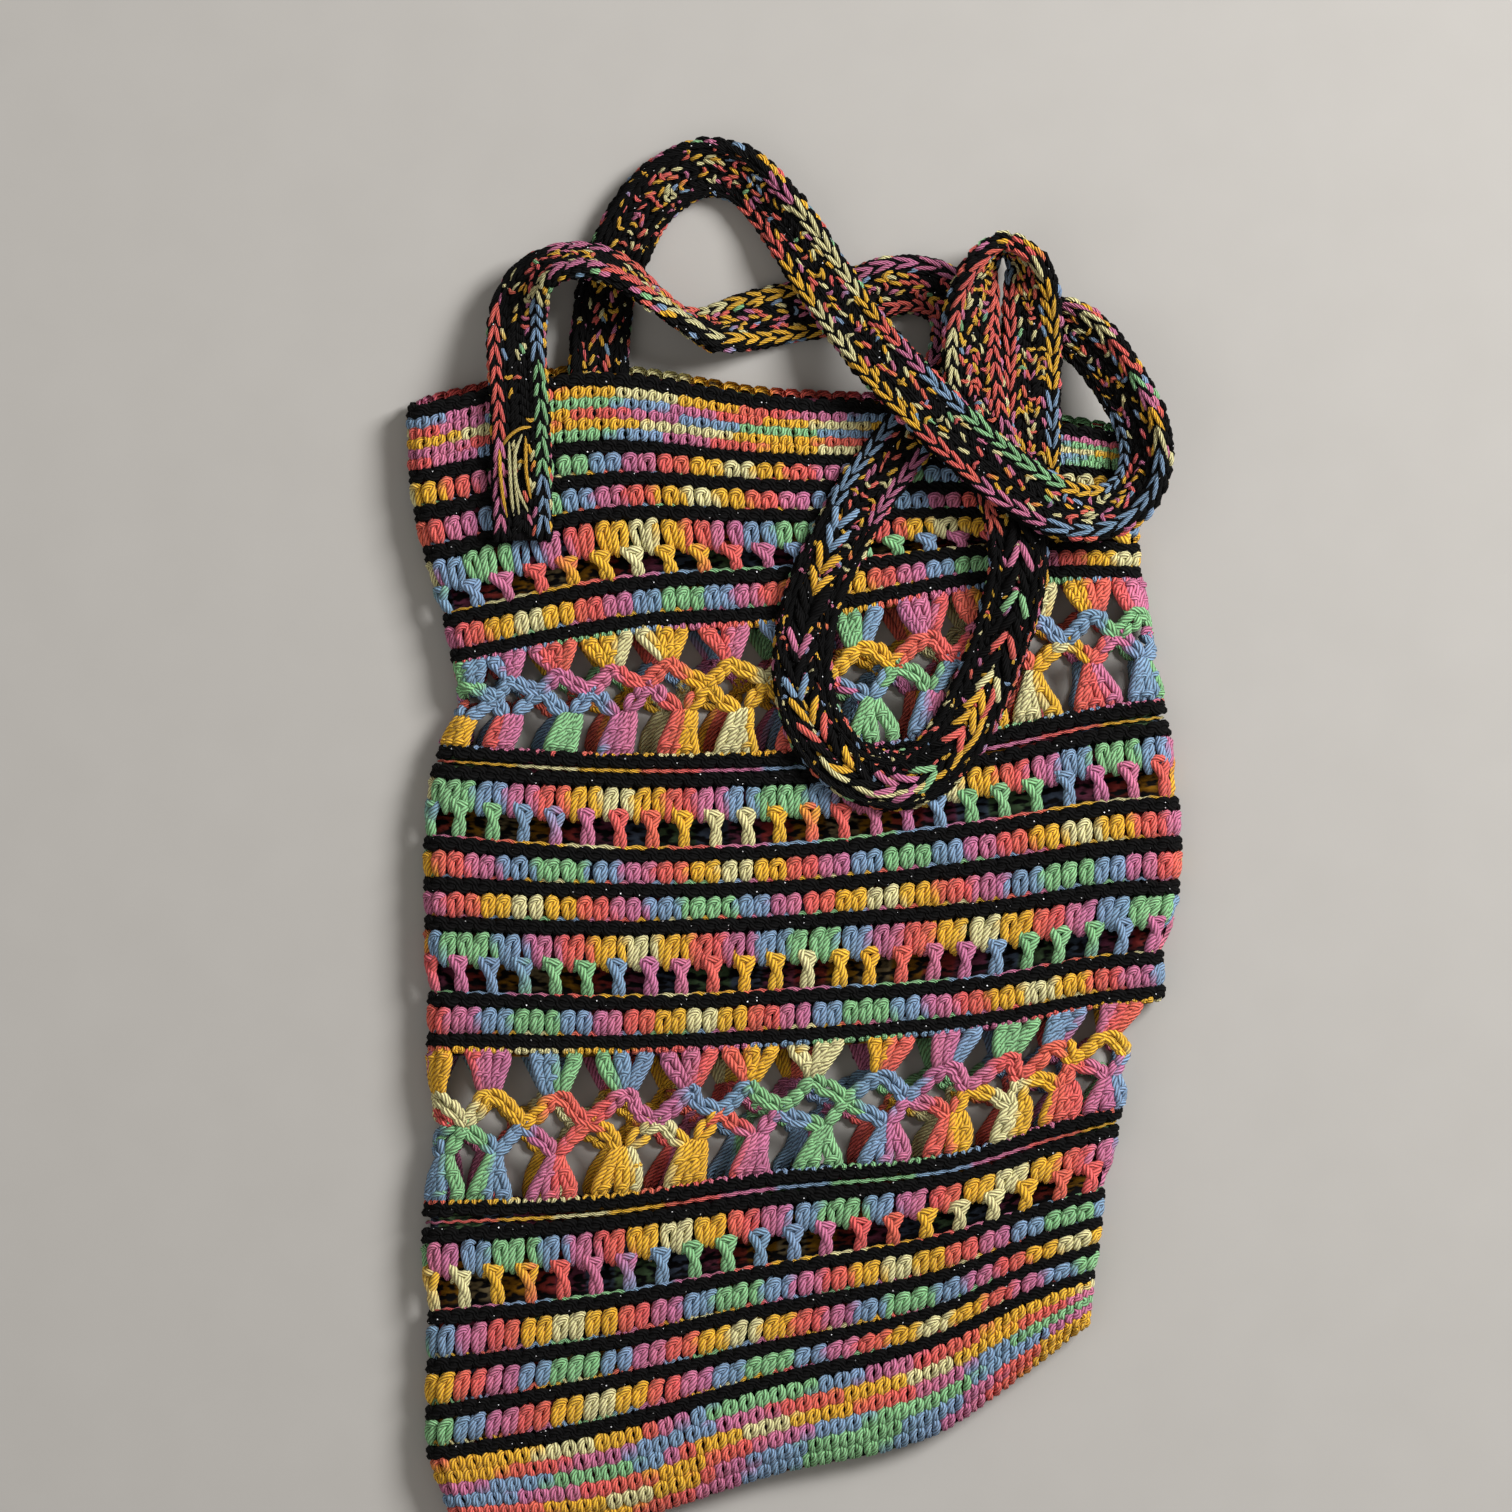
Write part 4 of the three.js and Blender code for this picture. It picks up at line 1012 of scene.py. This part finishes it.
# the wide Vs of the loop that hangs over the bag
loop_stitches = [
    (400, blue), (412, gold), (437, None), (449, plum), (458, None), (467, blue), (476, gold),
    (486, coral), (495, None), (504, gold), (515, None), (526, plum), (536, green), (549, None),
    (562, coral), (570, gold), (580, None), (588, cream), (597, None), (604, coral), (613, None),
    (622, green), (632, None), (641, plum), (648, None),
]
back_chains = {
    1: [
        (0, None), (165, plum), (182, cream), (228, gold), (244, coral), (260, plum), (276, blue),
        (302, green), (354, gold), (378, blue), (430, None),
    ],
    -1: [
        (0, None), (165, plum), (170, coral), (195, gold), (220, cream), (256, gold), (290, coral),
        (320, plum), (354, blue), (404, cream), (412, gold), (425, plum), (433, green), (440, coral),
        (453, cream), (464, plum), (474, None),
    ],
}


def band_stitch(template, count, starts, across_mm, turned, thick, dye, black, loose=0.25):
    # one strand of a stitch, repeated along the band
    m = len(starts)
    path = np.broadcast_to(curve(template, count), (m, count, 3)).copy()
    path[..., 0] = starts[:, None] + turned * path[..., 0] + jitter.normal(0, loose, (m, 1))
    path[..., 1] += across_mm + jitter.normal(0, loose, (m, 1))
    path[..., 2] += jitter.normal(0, 0.15, (m, 1))
    return path, thick, dye, black


def length_at(lengths, at):
    # the dye at each place, and 1 where the strand there is black
    found = [[d for start, d in lengths if start <= a][-1] for a in at]
    dye = np.array([[d or 0.0] for d in found]) + jitter.normal(0, 0.012, (len(at), 1))
    return dye, np.array([[float(d is None)] for d in found])


def edge_chains(chains, length):
    # chains along both edges of the face: long open Vs, each length of them in one dye
    link = 7.7
    groups = []
    for edge in (1, -1):
        at = np.arange(2.0, length - 12, link)
        dye, black = length_at(chains[edge], at)
        middle = edge * (half_wide - 2.5)
        for hand in (1, -1):
            on_top = [
                (-2.2, hand * 1.6, 0.8), (1.2, hand * 1.95, 3.1),
                (6.0, hand * 1.0, 3.7), (10.8, hand * 0.15, 2.2),
            ]
            under = [(x - 3.6, y * 0.9, z - 0.6) for x, y, z in on_top]
            groups.append(band_stitch(on_top, 7, at, middle, 1, 0.98, dye, black, 0.2))
            groups.append(band_stitch(under, 5, at, middle, 1, 1.25, dye, 1.0))
    return groups


def loop_chains(lengths):
    # on the loop over the bag: wide Vs, a long strand beside them and two bits of thin chain
    wide_link, long_link, thin_link = 8.9, 14.5, 11.0
    groups = []
    at = np.arange(402, 652, wide_link)
    dye, black = length_at(lengths, at)
    for hand in (1, -1):
        on_top = [
            (-2.4, hand * 5.0, 1.8), (0.6, hand * 4.4, 3.9),
            (4.8, hand * 2.2, 4.6), (10.2, hand * 0.3, 2.8),
        ]
        under = [(x - 4.4, y * 1.3, z - 0.8) for x, y, z in on_top]
        shift = -1.6 + 1.5 * np.sin(at / 11.0)
        groups.append(band_stitch(on_top, 7, at, shift[:, None], 1, 1.6, dye, black, 0.6))
        groups.append(band_stitch(under, 6, at, 0.0, 1, 1.5, dye, 1.0))
    at = np.arange(505.0, 592.0, long_link)
    dye, black = length_at([(0, cream), (528, cream + 0.04), (545, gold), (575, coral)], at)
    long_one = [(-2.0, 0.9, 2.4), (2.5, 0.2, 4.5), (8.0, -0.4, 4.6), (13.0, 0.3, 4.5), (18.0, 0.9, 2.6)]
    groups.append(band_stitch(long_one, 9, at, -5.4, 1, 1.3, dye, black, 0.5))
    thin_one = [(0, -0.5, 2.4), (3, 0.5, 3.2), (9, 0.3, 3.2), (13, -0.4, 2.2)]
    thin_lengths = [
        # from, to and place across the band in mm, and its dyes
        (436, 566, -10.2, [(0, gold), (474, cream), (548, gold)]),
        (576, 640, -11.0, [(0, coral)]),
    ]
    for from_mm, to_mm, across_mm, dyes in thin_lengths:
        at = np.arange(from_mm, to_mm, thin_link)
        dye, black = length_at(dyes, at)
        groups.append(band_stitch(thin_one, 7, at, across_mm, 1, 0.75, dye, black, 0.2))
    return groups


def filling_rows(chains, length, dyed_shares):
    # rows of V stitches between the chains, a black strand and a thin dyed one worked together
    fields = [
        # columns across the band, side of the band, pitch, points
        ((-4.2, 0.0, 4.2), 1, 4.3, 5), ((-8.6, 8.6), 1, 4.3, 5), ((-8.4, -2.8, 2.8, 8.4), -1, 5.2, 4),
    ]
    chain_from = 8
    groups = []
    for columns_mm, out, pitch, count in fields:
        for column, w0 in enumerate(columns_mm):
            at = np.arange(1.0 + (column % 2) * pitch / 2, length - 6, pitch)
            if out == 1 and abs(w0) > chain_from:
                at = at[length_at(chains[1 if w0 > 0 else -1], at)[1][:, 0] > 0.5]
            if not len(at):
                continue
            dyed_share = np.interp(at, *dyed_shares)
            turned = 1 if column % 2 else -1
            spread = 1.6 * pitch / 4.3
            low, high = out * 0.9, out * (half_thick - 0.2)
            for hand in (1, -1):
                black_arm = [
                    (-2.6, hand * spread * 1.15, low), (-1.2, hand * spread, high),
                    (1.4, hand * 0.7, high), (2.9, hand * 0.1, low),
                ]
                groups.append(band_stitch(black_arm, count, at + 2.6, w0, turned, 1.4, 0.0, 1.0))
                chosen = at[jitter.random(len(at)) < dyed_share]
                m = len(chosen)
                dye = jitter.normal(0.12, 0.15, (m, 1))
                aside = jitter.choice([-0.8, 0.7], m)
                dyed_arm = [(x, y, z + out * 0.75) for x, y, z in black_arm]
                places, across_mm = chosen + 2.6 + aside, w0 + aside[:, None] * 0.5
                groups.append(band_stitch(dyed_arm, count, places, across_mm, turned, 0.92, dye, 0.0))
            if out == 1:
                # dyed loops that lie straight across a few of them
                looped = at[jitter.random(len(at)) < 0.5 * dyed_share]
                bar = [(-0.8, -1.9, 1.2), (1.1, -0.9, 3.6), (1.1, 0.9, 3.6), (-0.8, 1.9, 1.2)]
                dye = jitter.normal(0.10, 0.16, (len(looped), 1))
                groups.append(band_stitch(bar, 5, looped + 2.0, w0, turned, 0.85, dye, 0.0))
    return groups


def side_bumps(length):
    # the two sides, where the turns of the rows show as small bumps
    black_share = 0.62
    groups = []
    for edge in (1, -1):
        for row, level in enumerate((-1.1, 1.0)):
            at = np.arange(1.0 + 2.2 * row, length - 6, 4.4)
            m = len(at)
            black = (jitter.random((m, 1)) < black_share).astype(float)
            dye = jitter.normal(0.2, 0.18, (m, 1))
            bump = [
                (0.0, edge * 9.9, level - 0.7), (1.4, edge * 11.3, level),
                (3.4, edge * 11.3, level + 0.4), (4.9, edge * 9.9, level + 0.8),
            ]
            groups.append(band_stitch(bump, 5, at, 0.0, 1, 1.25, dye, black))
    return groups


def band_core(name, place, length):
    # the dense middle of the band, seen only between its stitches
    at = np.linspace(0, length, round(length / 4))
    outline = [
        (1, 0.3), (0.8, 1), (0, 1), (-0.8, 1), (-1, 0.3),
        (-1, -0.3), (-0.8, -1), (0, -1), (0.8, -1), (1, -0.3),
    ]
    wide, thick = half_wide - 0.8, half_thick - 0.7
    path = np.array([[(a, w * wide, n * thick) for w, n in outline] for a in at])
    points = place(path).reshape(-1, 3)
    n_ring = len(outline)
    index = np.arange(len(points)).reshape(-1, n_ring)
    turned = np.roll(index, -1, 1)
    quads = np.stack([index[:-1], turned[:-1], turned[1:], index[1:]], -1).reshape(-1, 4)
    last = len(points) - n_ring
    ends = [[0, 9, 8, 7], [0, 7, 6, 5], [0, 5, 4, 3], [0, 3, 2, 1]]
    ends += [[last, last + n, last + n + 1, last + n + 2] for n in (1, 3, 5, 7)]
    quads = np.vstack([quads, ends])
    corner = np.stack([(quads.ravel() // n_ring) / len(at), (quads.ravel() % n_ring) / n_ring], -1)
    return mesh_from(
        name,
        points,
        quads,
        [ground_material],
        {"OFBake": corner, "cloth": corner * 100},
        {"dye": np.zeros(len(points)), "black": np.ones(len(points))},
    )


def make_handle(name, node, stations, chains, loop, dyed_shares):
    frame_of_band = band_frame(stations)
    place = band_place(frame_of_band)
    length = frame_of_band[0][-1]
    groups = edge_chains(chains, length)
    if loop:
        groups += loop_chains(loop)
    groups += filling_rows(chains, length, dyed_shares)
    groups += side_bumps(length)
    stitches = strands(name + "_stitches", place, groups, 5)
    core = band_core(name + "_core", place, length)
    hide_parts(node)


# the last of each is the share of stitches with a dyed strand, at these mm along the handle
make_handle(
    "front_handle_band", "front_handle", front_handle, front_chains, loop_stitches,
    ([0, 60, 100, 230, 400, 650, 700], [0.14, 0.2, 0.45, 0.5, 0.4, 0.28, 0.6]),
)
make_handle(
    "back_handle_band", "back_handle", back_handle, back_chains, None,
    ([0, 160, 300], [0.5, 0.5, 0.4]),
)

# Sewing
# Of the stitches that hold the handles, only those over the front handle's left end show:
# long cream and gold ones, in the dyed yarn.
thread_routes = [
    # places of each stitch on the bag in mm, and its dye
    ([(-118.7, 188.6), (-118.4, 179.0), (-117.4, 168.0), (-115.6, 158.3)], gold),
    ([(-114.8, 189.4), (-114.4, 179.0), (-113.8, 168.0), (-112.9, 159.2)], cream),
    ([(-109.3, 193.1), (-112.4, 183.3), (-111.4, 170.8), (-106.6, 160.1)], cream),
    ([(-112.6, 190.2), (-112.2, 180.3), (-112.0, 171.8), (-110.6, 158.8)], cream + 0.02),
    ([(-108.0, 192.1), (-107.9, 183.7), (-107.6, 176.0), (-105.8, 165.4)], gold),
    ([(-118.0, 187.2), (-114.6, 191.6), (-110.4, 194.6), (-105.4, 195.6)], gold),
]
# heights of the thread's middle over the floor, in mm
over_band, at_cloth = 23.6, 21.6
threads = []
for corners, _ in thread_routes:
    lifted = [(x, y, over_band if n in (1, 2) else at_cloth) for n, (x, y) in enumerate(corners)]
    threads.append(curve(lifted, 14))
thread_dye = np.array([[dye] for _, dye in thread_routes])
whip = strands(
    "whip_stitches",
    lambda path: path,
    [(np.array(threads), 0.72, thread_dye, 0.0)],
    8,
    full=True,
)

# Floor and light
# A plain pale surface; soft light comes low from the upper right, as in the photograph.
floor_material, tree, shader = new_material("pale_surface", 0.9, 0.0)
tone = blend(tree, "MIX", clouds(tree, 30, 4.0), (0.360, 0.345, 0.325, 1), (0.385, 0.370, 0.350, 1))
tree.links.new(tone, shader.inputs["Base Color"])
floor_mesh = bpy.data.meshes.new("floor")
reach = 4.0
floor_mesh.from_pydata(
    [(-reach, -reach, 0), (reach, -reach, 0), (reach, reach, 0), (-reach, reach, 0)], [], [(0, 1, 2, 3)]
)
floor_mesh.materials.append(floor_material)
floor = bpy.data.objects.new("floor", floor_mesh)
bpy.context.scene.collection.objects.link(floor)
bpy.context.scene.view_settings.view_transform = "Standard"
world = bpy.data.worlds.new("world")
bpy.context.scene.world = world
world.use_nodes = True
room_light = world.node_tree.nodes["Background"]
room_light.inputs["Color"].default_value = (1.0, 0.96, 0.90, 1)
room_light.inputs["Strength"].default_value = 0.36
lamps = [
    # name, place and size in metres, power in watts
    ("window", (1.6, 1.1, 1.5), 0.9, 94),
    ("fill", (-1.2, -0.6, 1.6), 1.6, 6),
]
bag_middle = np.array([0.0, 0.05, 0.0])
for light_name, place_m, size, power in lamps:
    light_data = bpy.data.lights.new(light_name, "AREA")
    light_data.energy = power
    light_data.size = size
    light = bpy.data.objects.new(light_name, light_data)
    bpy.context.scene.collection.objects.link(light)
    light.location = place_m
    aim = bag_middle - np.array(place_m)
    light.rotation_euler = (
        math.atan2(math.hypot(aim[0], aim[1]), -aim[2]), 0, math.atan2(-aim[0], aim[1])
    )
